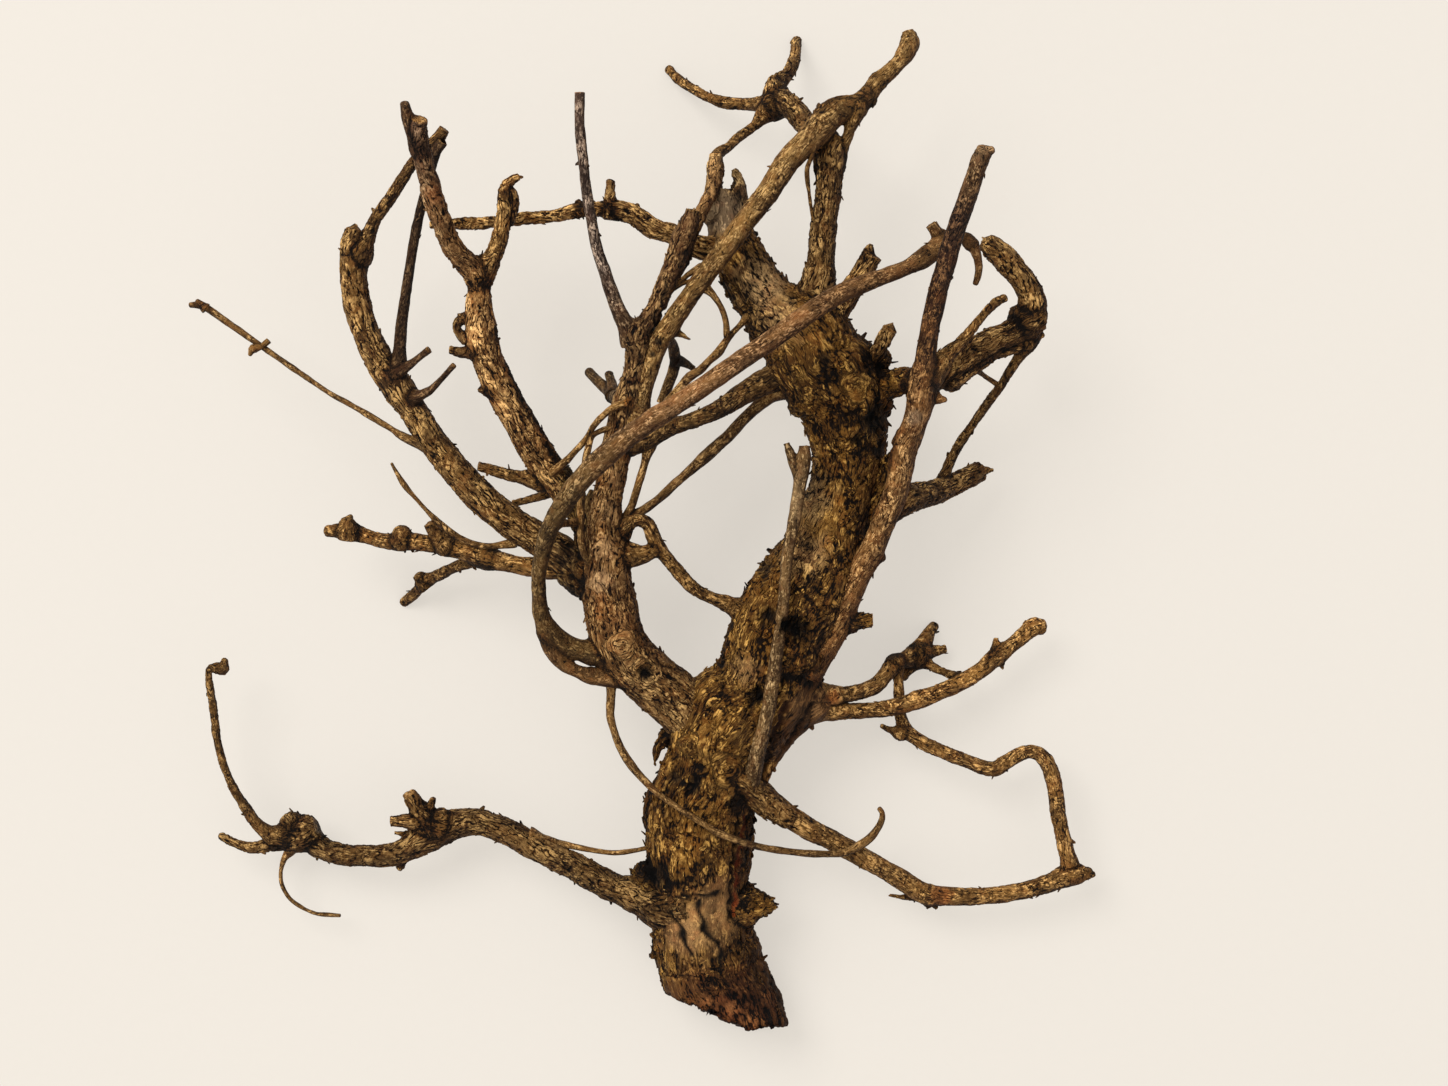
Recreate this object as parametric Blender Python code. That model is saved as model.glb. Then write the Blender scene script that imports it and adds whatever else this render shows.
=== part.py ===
import math

import bmesh
import bpy
from mathutils import Vector, noise

# Piece of weathered wood lying on its back: short trunk at the front edge (-Y), crown spread
# towards the far edge (+Y), upper side +Z. Lengths in millimetres are turned to metres by MM.
MM = 0.001

# The spread of the limbs was measured from straight above, from one eye point. A point at
# another height than the measuring plane is drawn towards the middle as an eye would need.
EYE_HEIGHT = 900.0
PLANE_HEIGHT = 40.0
SHIFT_E = 29.944
SHIFT_N = -5.732

# Bark and section detail
TRUNK_THICKNESS = 0.88
LIMB_THICKNESS = 0.95
CURVE_TOLERANCE = 0.55
LONGEST_STEP = 24.0
TRUNK_STEP = 8.0
TRIANGLE_BUDGET = 11600
BARK_DEPTH = 0.035
LIMB_BARK_DEPTH = 0.04
BARK_SEED = 17.0
FLARE = 0.45

# The hacked end of the trunk: upright planes, each through a point and facing down the trunk
END_CUTS = (((9.1, -184.8), (-0.386, -0.922)), ((9.3, -184.8), (0.12, -0.993)))

WOOD_COLOR = (0.235, 0.150, 0.080, 1.0)
WOOD_ROUGHNESS = 0.82
NODE = "driftwood_tree"

# Limbs: name: (sides, end, points), each point (east, north, height, radius) in millimetres,
# from the root to the tip. Ends: cut, round, point, broken.
LIMBS = {
    # Trunk from the sawn end to the crown, then the two halves of its split top
    "trunk": (18, "cut", [
        (4, -194, 16.2, 19), (4.2, -181, 16.2, 19.6), (0.7, -173, 16.2, 20), (-2.4, -166, 16.4, 19.5),
        (-4.8, -161, 17, 19.9), (-6.2, -155.4, 18, 19.8), (-8, -149.5, 19.7, 19.3),
        (-8.6, -141, 21.5, 18.9), (-9.5, -131, 23.5, 18.8), (-10, -121, 25.5, 20),
        (-9.5, -110, 27, 20.5), (-9, -100, 28.5, 20.3), (-6, -90, 30, 19.3), (-3.5, -82, 31, 18.7),
        (-1.5, -74, 32, 20.3), (4, -66, 33.5, 21.5), (12.5, -57, 35, 19.5), (16.7, -48, 37, 19.2),
        (19.5, -40, 38.5, 20), (23.6, -30, 40, 20.2), (29.2, -20, 41.5, 20.2), (34.8, -10, 43, 18.3),
        (39.2, 0, 44.5, 15.8), (41.2, 10, 46, 14.4), (44.5, 20, 47.5, 12.8), (46.5, 30, 49, 13.2),
        (47, 38, 50, 14.7), (46.5, 46, 51.5, 16.5), (45.3, 54, 52.5, 18.4), (41, 62, 53.5, 20.3),
        (35, 69.7, 54.5, 18), (29.3, 79.5, 55, 17.8), (20.5, 87, 54.5, 13.6), (14, 94.2, 54, 11.2),
        (9.8, 100.6, 53.5, 10.6), (6, 108, 53, 9.9), (3, 114.7, 52, 9), (1.5, 121.5, 51, 7.9),
        (0.4, 128.5, 50, 7.4), (0.2, 134, 49.8, 6.4)]),
    "split_right": (6, "broken", [
        (3.6, 124, 50.5, 4.6), (4.3, 131, 50, 3.8), (4.9, 136, 49.5, 3), (4.5, 140, 49, 2),
        (3.5, 142.3, 49, 0.9)]),
    "split_left": (6, "broken", [
        (-3, 126, 51, 4.2), (-3.6, 134, 50.5, 3.5), (-3.5, 142.6, 50, 3.2), (-3.3, 148, 50, 2.3)]),
    # Trunk sides: swellings, torn ridge and spurs
    "low_swell": (7, "round", [
        (-16, -90, 29, 9), (-22, -97, 28, 8), (-22, -108, 27, 8.2), (-18, -116, 26, 8)]),
    "left_burl": (7, "round", [(-20, -130, 25, 9), (-28, -126, 27, 7.5), (-32, -123.5, 28, 5)]),
    "right_spur": (6, "point", [
        (0, -136.5, 25, 12), (8.8, -136.5, 25.5, 9.3), (13.2, -136.5, 26, 5.8), (16.8, -137, 26.5, 3),
        (19.8, -137.5, 27, 0.8)]),
    "left_spike": (4, "point", [(-19, -72, 32, 3), (-25, -76.5, 33, 1.8), (-26.7, -84, 34, 0.5)]),
    "left_flap": (4, "broken", [(-22, -146, 22, 3), (-26, -151, 21, 1.6), (-26.8, -157, 20.5, 1.2)]),
    "torn_ridge": (6, "point", [
        (32, -60, 34, 8), (27, -65, 34, 6.5), (21, -73, 34, 5), (16.5, -82, 33, 3.6), (13, -90, 32, 3)]),
    "crotch_burl": (7, "round", [(12, -52, 38, 9), (6.5, -46, 39, 8.2), (6, -41, 40, 6.5)]),
    "far_collar": (8, "round", [(12, -66, 34, 12), (25, -59, 34.5, 11.5), (33, -55, 35, 8)]),
    # Stick standing against the trunk, with a side prong
    "front_stick": (6, "broken", [
        (10, -90, 40, 3.6), (12.6, -78, 48, 3.1), (16, -65, 53, 2.7), (18.4, -50, 56.5, 2.6),
        (19.8, -40, 58.5, 2.4), (21.3, -30, 60.5, 2.3), (22.5, -20, 62.5, 2.2), (23.2, -10, 64, 2.2),
        (24.5, 0, 65.5, 2.2), (26.5, 10, 67, 2.4), (28, 20, 69, 2.5), (29.4, 28, 70.5, 2.6),
        (30.1, 33, 71.2, 2.6), (30.3, 37.3, 71.5, 2.1)]),
    "stick_prong": (4, "cut", [
        (27.8, 27, 70, 2), (26, 31, 70, 2), (24.7, 35, 70, 1.7), (23.4, 38.4, 70, 1.1)]),
    # Left half of the fork and the tall front limb with its frayed top
    "front_limb": (9, "broken", [
        (0, -72, 32, 12.5), (-10, -66, 34, 11.6), (-20, -57.7, 36.5, 10.8), (-29, -50, 39.5, 10.4),
        (-37, -42, 42.5, 10.4), (-41.5, -33, 45.5, 10.2), (-43, -24, 47.5, 10.2), (-44.3, -14, 50, 9.2),
        (-45, -4, 52, 8.1), (-45.3, 6, 53.5, 6.6), (-44.8, 14, 55, 5.9), (-43.5, 22, 56.5, 5.6),
        (-42, 29, 58, 5.4), (-41, 36, 59.5, 5.8), (-39, 44, 61, 6), (-37.3, 52, 62.5, 5.8),
        (-35, 60, 64, 4.9), (-33.2, 68.5, 65.5, 4.6), (-32.8, 74, 67, 4.9), (-32.7, 79.5, 68, 6),
        (-28.6, 85, 69, 4.2), (-25.8, 90.5, 70, 3.6), (-23.3, 96, 70.6, 3.6), (-20.9, 101.5, 71.2, 3.9),
        (-17.7, 109.5, 72, 4.3), (-15.9, 116.5, 72.5, 4.1), (-13.4, 121.8, 73, 3.7),
        (-12.1, 126.8, 73.5, 2.6)]),
    "frayed_strand": (5, "broken", [
        (-17.2, 108.5, 70, 2.8), (-12.8, 117.5, 68, 2.7), (-9.9, 124, 65, 2.5), (-6.9, 129.7, 60, 2.3),
        (-3.9, 135.7, 54.5, 2.5), (-3.4, 141.5, 51.5, 3), (-3.4, 146.5, 50.5, 2.2)]),
    "front_knob": (6, "round", [(-42, 4, 52, 4), (-38, 3.8, 53, 3.2), (-36.3, 3.5, 53, 2.2)]),
    # Branch that crosses to the far right tip, its lifted bark and its links
    "long_branch": (7, "cut", [
        (-34, 46, 61, 4.6), (-32, 55, 63.5, 3.6), (-29.8, 62, 65.5, 3.4), (-27.2, 70, 67.5, 3.5),
        (-24, 78, 69, 3.9), (-18.8, 86, 70, 3.8), (-11.8, 96, 71.5, 3.7), (-7.5, 102, 72, 3.8),
        (-2.5, 108.5, 73, 4), (4.8, 118.5, 73.5, 4.2), (9.8, 125.1, 73.5, 4.2), (16.4, 133.5, 72.8, 4.3),
        (23.2, 144.2, 71, 4.6), (31.2, 152.6, 69.5, 5), (36.8, 158.7, 68, 5.3), (41.6, 163.5, 66.5, 5.1),
        (47.6, 165.8, 65, 4), (52, 168, 64, 3.4), (54.8, 170.7, 63, 3.2), (57.6, 175.1, 62, 3.1),
        (62.1, 178.8, 61, 3), (66.2, 182.9, 59.5, 3), (69, 187, 58.5, 3.5), (70.1, 190.1, 57.5, 3.8),
        (69.8, 192.9, 57, 3.2), (69.4, 194.6, 57, 2.2)]),
    "branch_thorn": (4, "point", [
        (-20.4, 80.9, 68.6, 1.5), (-16.5, 79.5, 68, 0.9), (-13.2, 77.6, 68, 0.4)]),
    "lifted_bark": (4, "cut", [
        (36.5, 163.5, 68, 1.8), (40.5, 167.2, 68, 1.4), (46, 168.7, 67, 1.3), (52.8, 168.4, 66, 1.1)]),
    "branch_lip": (4, "round", [(54, 170, 63, 2.4), (56.3, 168, 63, 1.8), (57.2, 168, 63, 1)]),
    "branch_spur": (4, "point", [(58.5, 174.5, 62, 1.6), (56.5, 177.8, 63, 0.7)]),
    "branch_link": (5, "round", [
        (50, 165, 64.5, 2.8), (48.5, 160.6, 64, 2.5), (46.8, 155.1, 63, 1.9), (45.3, 149.5, 62, 1.6),
        (43.2, 142, 61, 2.2)]),
    "red_stem": (4, "round", [
        (36.5, 158.5, 72.5, 0.8), (34.5, 152, 72, 0.8), (32.5, 146, 70, 1), (31.2, 142, 68, 1),
        (32, 133, 64, 0.75), (33.4, 124, 60.5, 0.75), (35, 117, 58, 0.9)]),
    # Limb from the crown up to the long branch
    "upright_stub": (7, "cut", [
        (33, 86, 52, 10), (34.5, 94, 53.5, 8.6), (35.6, 101, 55, 6.6), (36.4, 107.5, 55.8, 5.2),
        (37.1, 116.9, 57, 5), (38.2, 126, 58.5, 4.8), (39.4, 135, 60, 4.9), (40.3, 144.2, 61, 5.2),
        (40.9, 151.5, 62, 4.6), (42.2, 154.5, 62, 2.9)]),
    "stub_flange": (4, "round", [
        (38, 150, 60.5, 2.4), (35.8, 146, 60, 1.8), (35.8, 141, 60, 1.7), (38, 137, 60, 1.8)]),
    "cut_stub": (7, "cut", [
        (38, 84, 55, 8), (44.5, 91.5, 57.5, 5), (48.5, 97.5, 59.5, 4.2), (51.9, 102.6, 61.5, 4),
        (56, 109.6, 63.5, 3.7)]),
    "cut_stub_tip": (4, "round", [(54.5, 109.5, 63, 1.8), (55.2, 113.2, 64, 1.2)]),
    "small_stub": (5, "broken", [
        (52, 66, 58, 5), (56.4, 70.8, 60, 3.2), (59.2, 75, 62, 2.9), (61.2, 79, 63.5, 2.9),
        (62.8, 81.9, 64.3, 2.8)]),
    "crown_shoulder": (7, "round", [(46, 66, 54, 8), (54, 68.8, 56, 6.4), (59.6, 70.2, 57, 5)]),
    "crown_burl": (7, "round", [(46, 52, 52, 12), (53, 47.5, 51, 9.5), (56, 46, 50.5, 6.5)]),
    "crown_left_burl": (6, "round", [(22, 80, 55, 9), (14, 79, 54, 6.5), (11, 78, 53.5, 3.6)]),
    # Low limbs behind the split top
    "far_limb": (6, "cut", [
        (38, 152, 60, 4), (33.5, 156, 54, 4.4), (30.3, 160, 46, 4.4), (24, 166.9, 38, 4.3),
        (20.1, 169, 32, 4.2), (19.6, 172.5, 28, 3.5), (20.8, 175.3, 25, 3.1), (24, 178.3, 21, 2.6),
        (26.2, 182.9, 15, 2.3), (27.1, 187.9, 7.5, 2.1), (27.3, 190.9, 1.3, 1.9)]),
    "far_knuckle": (6, "round", [(19.5, 170, 31, 3.4), (18.7, 174.5, 28, 2.7), (18.6, 176.6, 27, 1.8)]),
    "far_twig": (5, "round", [
        (20, 166.5, 33, 3.6), (13, 166.9, 28, 2.7), (7.5, 166.9, 23, 2.4), (0.3, 167.4, 19, 2.3),
        (-6.9, 169.7, 15.5, 1.9), (-12.4, 172.8, 11, 1.8), (-18, 176.5, 5.6, 1.8),
        (-21, 179.9, 1, 1.7)]),
    "stump_twig": (5, "round", [
        (18, 165, 32, 3.2), (14.8, 162.8, 32, 2.6), (11.2, 158.7, 33, 1.9), (5.8, 154.6, 36, 1.8),
        (1.2, 150.5, 41, 1.8), (-2.8, 147.8, 46, 2.3), (-3.4, 146, 48.5, 2.6)]),
    # Limbs from the top of the left side towards the split top
    "top_left_twig": (5, "cut", [
        (8, 112, 53, 5), (-2, 112.5, 54, 4.6), (-9, 112.5, 55, 4.4), (-15, 115, 56, 4),
        (-20, 117.5, 56.5, 3.8), (-27.2, 119.7, 57, 3.7), (-34.5, 124.7, 57, 3.8), (-40, 126.5, 57, 3.8),
        (-45.4, 127, 56.5, 2.9), (-50, 127, 56, 2.5), (-56.3, 126.5, 55.5, 3), (-65.4, 124.3, 55, 2.4),
        (-75.5, 123.4, 54, 2.4), (-91, 121.9, 53, 2.3), (-98.2, 121.7, 52.5, 2.4), (-105, 121.5, 52, 2),
        (-111.8, 121.1, 51.5, 1.2)]),
    "top_left_nub": (4, "round", [
        (-43, 126, 56.5, 2.6), (-43.4, 132, 57, 1.8), (-43.4, 137.4, 57.5, 1.6)]),
    "top_left_bump": (4, "point", [(-54.5, 127, 55.5, 2.2), (-55.6, 130.3, 56, 0.8)]),
    "dark_shoot": (6, "cut", [
        (-34, 77, 66, 4), (-35.9, 81.5, 68, 3.8), (-38.4, 85.1, 69.5, 3), (-42.4, 94.2, 70.5, 2.6),
        (-45.4, 103.3, 71.3, 2.3), (-48.4, 112, 72, 2.2), (-50.2, 121.5, 73, 2.1), (-51.8, 130.5, 74, 2),
        (-53, 139.7, 75, 1.95), (-54.9, 157.9, 76, 2), (-54.9, 171.2, 76.5, 2)]),
    "thin_link": (4, "round", [
        (-22, 96, 71, 1.6), (-17.5, 99, 71, 1.2), (-13.5, 102.5, 71.5, 1), (-9, 105.5, 72, 1.2)]),
    "thin_link_low": (4, "round", [(-20, 97.5, 71, 1.3), (-15, 99.2, 71, 0.9), (-10, 100.5, 72, 1.2)]),
    # The long front arc, its knuckle and hanging twig
    "front_arc": (7, "cut", [
        (-40, -42.5, 44, 7), (-48.3, -40.8, 45.5, 5), (-55.3, -39.9, 48, 4.1), (-60.8, -37.9, 50, 4.3),
        (-66, -33.5, 53.5, 4.3), (-69.3, -27, 57, 3.3), (-70.4, -19.5, 62, 2.7), (-70.4, -11, 67.5, 2.8),
        (-69, -3.5, 72, 3.1), (-66.8, 4.5, 77.5, 3.4), (-64.2, 10, 82, 3.7), (-61.2, 15, 86, 3.9),
        (-57.5, 20.5, 89.5, 4.1), (-53, 26, 92.5, 4.2), (-48, 31, 95, 4.3), (-42.5, 36, 97.5, 4.3),
        (-36, 41.2, 100, 4.2), (-28, 46.8, 102, 4.1), (-20, 52, 103.5, 3.9), (-12, 57.2, 104.5, 3.8),
        (-4, 62.8, 105, 3.8), (4, 68.3, 105, 3.8), (12, 73.7, 104.5, 3.8), (20, 79.2, 103.5, 3.9),
        (28, 84.9, 102, 4), (36, 90.4, 100, 3.9), (44.3, 95.2, 97.5, 3.7), (52.3, 98.7, 94.5, 3.4),
        (60.3, 101.5, 91.5, 3.1), (68.3, 104.6, 88.5, 3), (75.2, 108.2, 86, 3.5), (80, 112, 84, 3.8),
        (85, 116, 82, 3.4)]),
    "arc_root_strand": (5, "round", [
        (-40, -49.5, 42, 5), (-49.8, -50.2, 44.5, 3.2), (-55.8, -48.4, 46.5, 2.3), (-61, -45.2, 49, 3),
        (-65.4, -40, 51.5, 3.2), (-68.3, -33, 54.5, 2.6)]),
    "arc_twig": (4, "cut", [
        (-67.5, 4, 77, 2.2), (-63, 7.5, 74, 1.5), (-59, 8, 66, 1.5), (-55, 8.5, 57, 1.8)]),
    "arc_stub": (5, "cut", [(82.5, 113.5, 82, 2.6), (80.2, 118.2, 83, 2.3), (78.3, 121.3, 84, 2.4)]),
    "arc_knuckle": (5, "round", [(74, 108, 86, 3), (76.3, 111.3, 86, 1.8)]),
    "hanging_twig": (5, "round", [
        (84, 115.5, 82, 2.8), (89.5, 116.8, 81, 1.7), (92.7, 115.4, 80, 2), (94.8, 111.5, 79.5, 1.9),
        (96.2, 106.5, 79, 1.6), (96, 102, 78.5, 1.4), (95, 98.8, 78, 1.1)]),
    "hanging_nub": (4, "point", [(93, 114.5, 80, 1.8), (95.5, 114.2, 80, 0.8)]),
    # Right front shoot and what grows from it
    "right_shoot": (7, "cut", [
        (30, -48, 42, 7.5), (38, -36, 45, 6.6), (43.5, -27, 47.5, 5.8), (47.5, -18, 50, 5.2),
        (52, -9, 53, 4.9), (56.8, 0, 56, 4.6), (61, 10, 59.5, 4.4), (65, 20, 63, 4.6),
        (67.2, 30, 66.5, 4.5), (69.2, 38, 69.5, 4.7), (72, 46, 72.5, 4.8), (73.8, 52, 75, 5.2),
        (74.8, 61, 78, 5.2), (76, 70, 81.5, 3.9), (77.5, 80, 85.5, 3.6), (79.5, 90, 90, 3.7),
        (82, 100, 95, 3.7), (84.3, 108, 99, 3.7), (86.4, 115.5, 103, 3.7), (88.3, 121, 106.5, 3.6),
        (91.5, 130, 111.5, 3.6), (94.6, 139, 117, 3.4), (96.6, 145, 121, 3.5),
        (98.6, 149.8, 124.5, 2.9)]),
    "shoot_web": (6, "round", [
        (50, 0, 46, 6), (57, 14, 52, 5), (60.5, 25, 57, 4), (62, 32, 60, 3), (62.5, 35, 62, 2)]),
    "shoot_lobe": (5, "round", [(66, 30, 65, 4), (66.6, 38, 68, 3.4), (67.3, 42.3, 70, 2.2)]),
    "shoot_lip": (4, "round", [(98, 148, 123, 2.4), (101.6, 149.8, 124.5, 1.2)]),
    "shoot_bridge": (7, "cut", [
        (50, 60, 53, 9), (58, 60.6, 55.5, 7.2), (64.5, 61.2, 60.5, 5.6), (70, 61.9, 68, 5),
        (75, 62, 76, 4.8)]),
    "shoot_nub": (4, "round", [(56, -5.5, 54, 2.2), (60.4, -5, 55, 1)]),
    "shoot_spur": (4, "round", [(78, 56.5, 75, 2.6), (81.5, 55, 75, 1.4), (83.8, 54.8, 75, 0.9)]),
    "side_stub": (6, "cut", [
        (42, -28.5, 46, 5.5), (48, -29.4, 46.5, 4.2), (53.2, -29, 46.5, 3.1), (56, -28.9, 46.5, 2.6)]),
    "low_stub": (7, "cut", [
        (61, 11, 58, 6), (67, 16, 53, 6.4), (72.5, 18, 46, 5.4), (78, 19.3, 39, 4.7),
        (84, 21.5, 31, 4.3), (90, 24.4, 25, 4.2), (96.6, 27.8, 19.5, 3.8)]),
    "low_stub_tip": (4, "point", [(96, 28, 20, 1.8), (101.6, 28, 19, 0.6)]),
    "hook_limb": (7, "round", [
        (72.8, 60.5, 74, 5.5), (80, 64, 71, 5.4), (87, 68, 67.5, 5.2), (93.8, 72.6, 63.5, 5.2),
        (101, 77, 60.5, 4.9), (107.5, 80, 58, 5.1), (113.3, 84, 56.5, 5.6), (116.4, 89.9, 56, 5.5),
        (115.5, 95.4, 56, 5), (112.1, 101.3, 56.5, 4.7), (109, 105, 57, 4.8), (105.5, 108.8, 57.5, 4.8),
        (101.8, 112, 58, 4.4), (99.6, 113.8, 58, 3.9)]),
    "hook_knot": (6, "round", [(114, 84, 56, 4.8), (118.6, 86.5, 55.5, 4.2), (120.3, 87.2, 55, 2.8)]),
    "hook_strand": (5, "point", [
        (86, 62, 69, 3), (95, 67.6, 63.5, 2.8), (103, 72.6, 59.5, 2.6), (110, 75, 56.5, 2.7),
        (115, 76.4, 55, 2.5), (120.3, 79.3, 54, 1.2)]),
    "hook_twig": (5, "round", [
        (77, 63.5, 77, 4), (81.8, 68.8, 76.5, 3.8), (85.5, 72.8, 76.5, 3.1), (89.2, 76.3, 77, 2.5),
        (93.8, 81.7, 77.5, 2), (98.3, 87.2, 78, 1.8), (102.9, 91.7, 78, 1.9), (106.2, 93.4, 78, 1.6)]),
    "drooping_twig": (4, "round", [
        (114.5, 76, 55, 2.4), (110, 68.5, 51.5, 1.8), (103.8, 59, 46, 1.8), (97.9, 51.2, 40, 1.8),
        (92.8, 43.5, 36, 1.8), (88.2, 36.7, 33.5, 1.9), (84.5, 29, 31.5, 2), (82.2, 23, 31, 2.2)]),
    "droop_link": (4, "round", [
        (90.5, 68.5, 64, 1.4), (95, 66.2, 58, 1), (99, 63.5, 51, 1), (103.5, 60.5, 46, 1.2)]),
    # Upper left limbs
    "dark_root": (7, "round", [
        (-46, -14, 48, 8), (-52.5, -8, 42, 6.6), (-53, 1, 42, 3.4), (-55, 10, 43, 4.4),
        (-58.5, 19, 44, 5.6), (-63, 25, 45.5, 6)]),
    "upper_limb": (8, "cut", [
        (-57, 17, 44, 5.8), (-62, 22.5, 45, 6), (-67, 28.5, 46.5, 6), (-71.3, 34.5, 48.5, 6),
        (-75.2, 41.5, 50.5, 6), (-79, 48.5, 52.5, 5.9), (-82.6, 54.5, 54, 5.8), (-86, 61, 55.5, 5.8),
        (-88.8, 67.5, 57, 5.6), (-91, 74, 58.5, 5.8), (-92.5, 82, 60, 5.7), (-93.2, 90, 61, 5.1),
        (-93, 97, 62, 4.3), (-94.2, 102, 64, 4.8), (-98, 106.5, 67.5, 4.5), (-102, 111, 72, 4),
        (-105, 116, 76.5, 3.9), (-107, 121.5, 81, 3.9), (-108.7, 126, 84.5, 3.9), (-110.4, 131, 88, 4.1),
        (-111.5, 136, 91.5, 3.9), (-113, 141.5, 95.5, 3.5), (-114.5, 147, 99.5, 3.6),
        (-115.6, 153, 103.5, 3.3), (-116.2, 158, 107, 3.4), (-115.6, 161.2, 109, 2.9)]),
    "upper_second_tip": (5, "round", [
        (-116, 150, 101, 2.4), (-118.6, 157, 106, 2.3), (-120.3, 162, 109, 2.3),
        (-121.3, 167, 112, 1.9)]),
    "upper_strand": (5, "point", [
        (-60, 24.5, 46, 3), (-66, 33, 48, 3), (-71.2, 41.5, 50, 2.8), (-76.4, 50.5, 52.5, 2.6),
        (-80.7, 59, 55, 2.2), (-84.2, 67.5, 57, 1.6)]),
    "upper_fork": (6, "broken", [
        (-93, 99, 62.5, 4.4), (-90.5, 104.5, 63.5, 4.2), (-87.6, 109.5, 64.5, 3.5),
        (-85.6, 115, 65.5, 3.1), (-84.2, 121, 66.5, 3), (-83.2, 127, 67.5, 3), (-83.3, 132, 68, 2.7),
        (-82.8, 136, 69, 2.1), (-80.5, 138.2, 69.5, 1.8), (-78.2, 139.4, 70, 1.3)]),
    "fork_lobe": (4, "round", [
        (-82, 133, 67.5, 1.8), (-80, 130.5, 67.5, 1.7), (-79.6, 126, 67.5, 1.4),
        (-81.5, 122, 66.5, 1.5)]),
    "fork_nub": (4, "round", [(-92.5, 105, 64, 2), (-93, 109.4, 65, 0.9)]),
    "bark_hook_high": (4, "round", [
        (-96, 86, 60, 2), (-100.3, 84.8, 60, 1.7), (-101.5, 81.5, 60, 1.6), (-98, 77.5, 60, 1.8)]),
    "bark_hook_low": (4, "cut", [(-93, 73, 58.5, 3), (-99, 72.8, 58.5, 1.7), (-104.3, 73.7, 58.5, 1.4)]),
    "left_knob": (4, "round", [(-88, 66.5, 56.5, 4), (-92.8, 66.8, 56, 2.6)]),
    "low_knob": (4, "round", [(-88, 58.3, 55.5, 2.6), (-93, 58.5, 55.5, 1)]),
    "right_lump": (5, "round", [(-90, 80, 60, 4), (-86.8, 80, 60, 2.6)]),
    "orange_stub": (5, "cut", [
        (-69.5, 24.5, 44, 3.2), (-78.5, 25.8, 44.5, 2.3), (-85.2, 27.3, 45.5, 2.3),
        (-90.2, 28.9, 46.5, 1.9), (-93.4, 29.8, 47.5, 1.7)]),
    "back_twig": (4, "cut", [
        (-60, 20.8, 42, 3), (-65.2, 19.6, 37, 1.7), (-72, 17.6, 32.5, 1.6), (-79.9, 15.4, 27.5, 1.5)]),
    # Left limb with two upright twigs and the thin sprig
    "left_limb": (8, "broken", [
        (-46, -14, 46, 8), (-54, -9, 40, 7.2), (-62, -3.5, 40, 6.7), (-70.7, 2.1, 40.5, 6.3),
        (-78.2, 6.4, 41, 6.1), (-85, 11.5, 42, 6), (-91.1, 16.6, 43, 5.9), (-97.1, 22.6, 44, 5.8),
        (-102.7, 29.2, 45, 5.6), (-108.2, 36.1, 46, 5.5), (-113.9, 43.8, 47, 5.2),
        (-118.7, 51.5, 48, 5.2), (-123.3, 58.5, 49, 6), (-127.3, 64.5, 50, 5.9), (-131.6, 71, 50.5, 5.5),
        (-136, 80.5, 51.5, 5.1), (-139.2, 90.5, 52.5, 5.1), (-140.6, 100.5, 53.5, 5.2),
        (-140.6, 108.5, 54.5, 5.2), (-140.6, 114.5, 55, 4.8), (-139.8, 119.3, 55.5, 3.6)]),
    "upright_twig": (5, "cut", [
        (-138.3, 109.5, 55, 3.4), (-135, 116.5, 56.5, 2.6), (-132.2, 123.4, 58, 2.3),
        (-126, 132.4, 60.5, 2.3), (-118.8, 143.4, 63.5, 2.3), (-113, 149.7, 65.5, 2.3),
        (-108.2, 154.8, 67.5, 2.3), (-106.2, 157.4, 68.5, 2.2)]),
    "second_upright": (5, "broken", [
        (-126.5, 62.5, 51, 4), (-123.6, 69, 53, 3), (-123.1, 76, 54, 2.4), (-122.3, 85, 56, 2.2),
        (-121, 94.2, 58, 2.1), (-118.1, 112.4, 61, 1.9), (-116.5, 121.5, 63, 1.9),
        (-113.6, 133, 65.5, 1.8), (-109.2, 148.8, 68.5, 1.8), (-106.9, 152.5, 69.5, 1.8)]),
    "red_spur": (4, "cut", [
        (-126, 64, 53, 2.6), (-120.3, 67.3, 55, 1.7), (-115.6, 71, 57, 1.4), (-112, 73.8, 59, 1.5)]),
    "bud_spur": (4, "cut", [
        (-118, 55.5, 51, 3), (-113.8, 57.3, 53.5, 1.8), (-110.8, 59.2, 55, 1.5), (-107, 63, 57, 1.2),
        (-102.6, 68, 59.5, 1.1)]),
    "left_sprig": (4, "round", [
        (-112.2, 38, 46, 2.6), (-117, 39, 46.5, 2), (-121, 40.4, 46.5, 1.6), (-126.4, 43.8, 46, 1.2),
        (-133.7, 48.2, 46, 1.2), (-141, 52.5, 45.5, 1.1), (-150, 57.5, 44.5, 1.1), (-161, 65, 43, 1.1),
        (-170, 71.2, 42, 1.1), (-179.1, 77.6, 41, 1.2), (-188.2, 83.9, 40, 1.3),
        (-195.5, 89.1, 39.5, 1.4), (-198.6, 90.7, 39, 1.7), (-202.4, 90.7, 39, 1.1)]),
    "sprig_fork": (4, "round", [(-196.5, 89.3, 39.3, 1.5), (-200, 92.1, 39.5, 1.1)]),
    "sprig_tuft": (4, "round", [
        (-172.8, 77.2, 42.5, 0.8), (-175.6, 75, 42, 1.2), (-178.6, 74.2, 41.5, 1.8),
        (-179.9, 71.8, 41, 0.7)]),
    # Lower left limb near the table
    "low_left_limb": (7, "round", [
        (-52, -12, 42, 6), (-60, -9, 38, 4.8), (-66, -9, 37, 4.2), (-73, -8.6, 36, 3.7),
        (-80, -7.5, 35.5, 3.4), (-87, -6, 35, 3.6), (-94, -3.9, 34, 3.9), (-100, -1.9, 33, 3.8),
        (-106, -0.5, 32, 3.6), (-112, 0.1, 31.5, 3.2), (-118, 1, 31, 3.2), (-124, 1, 30.5, 3),
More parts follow.
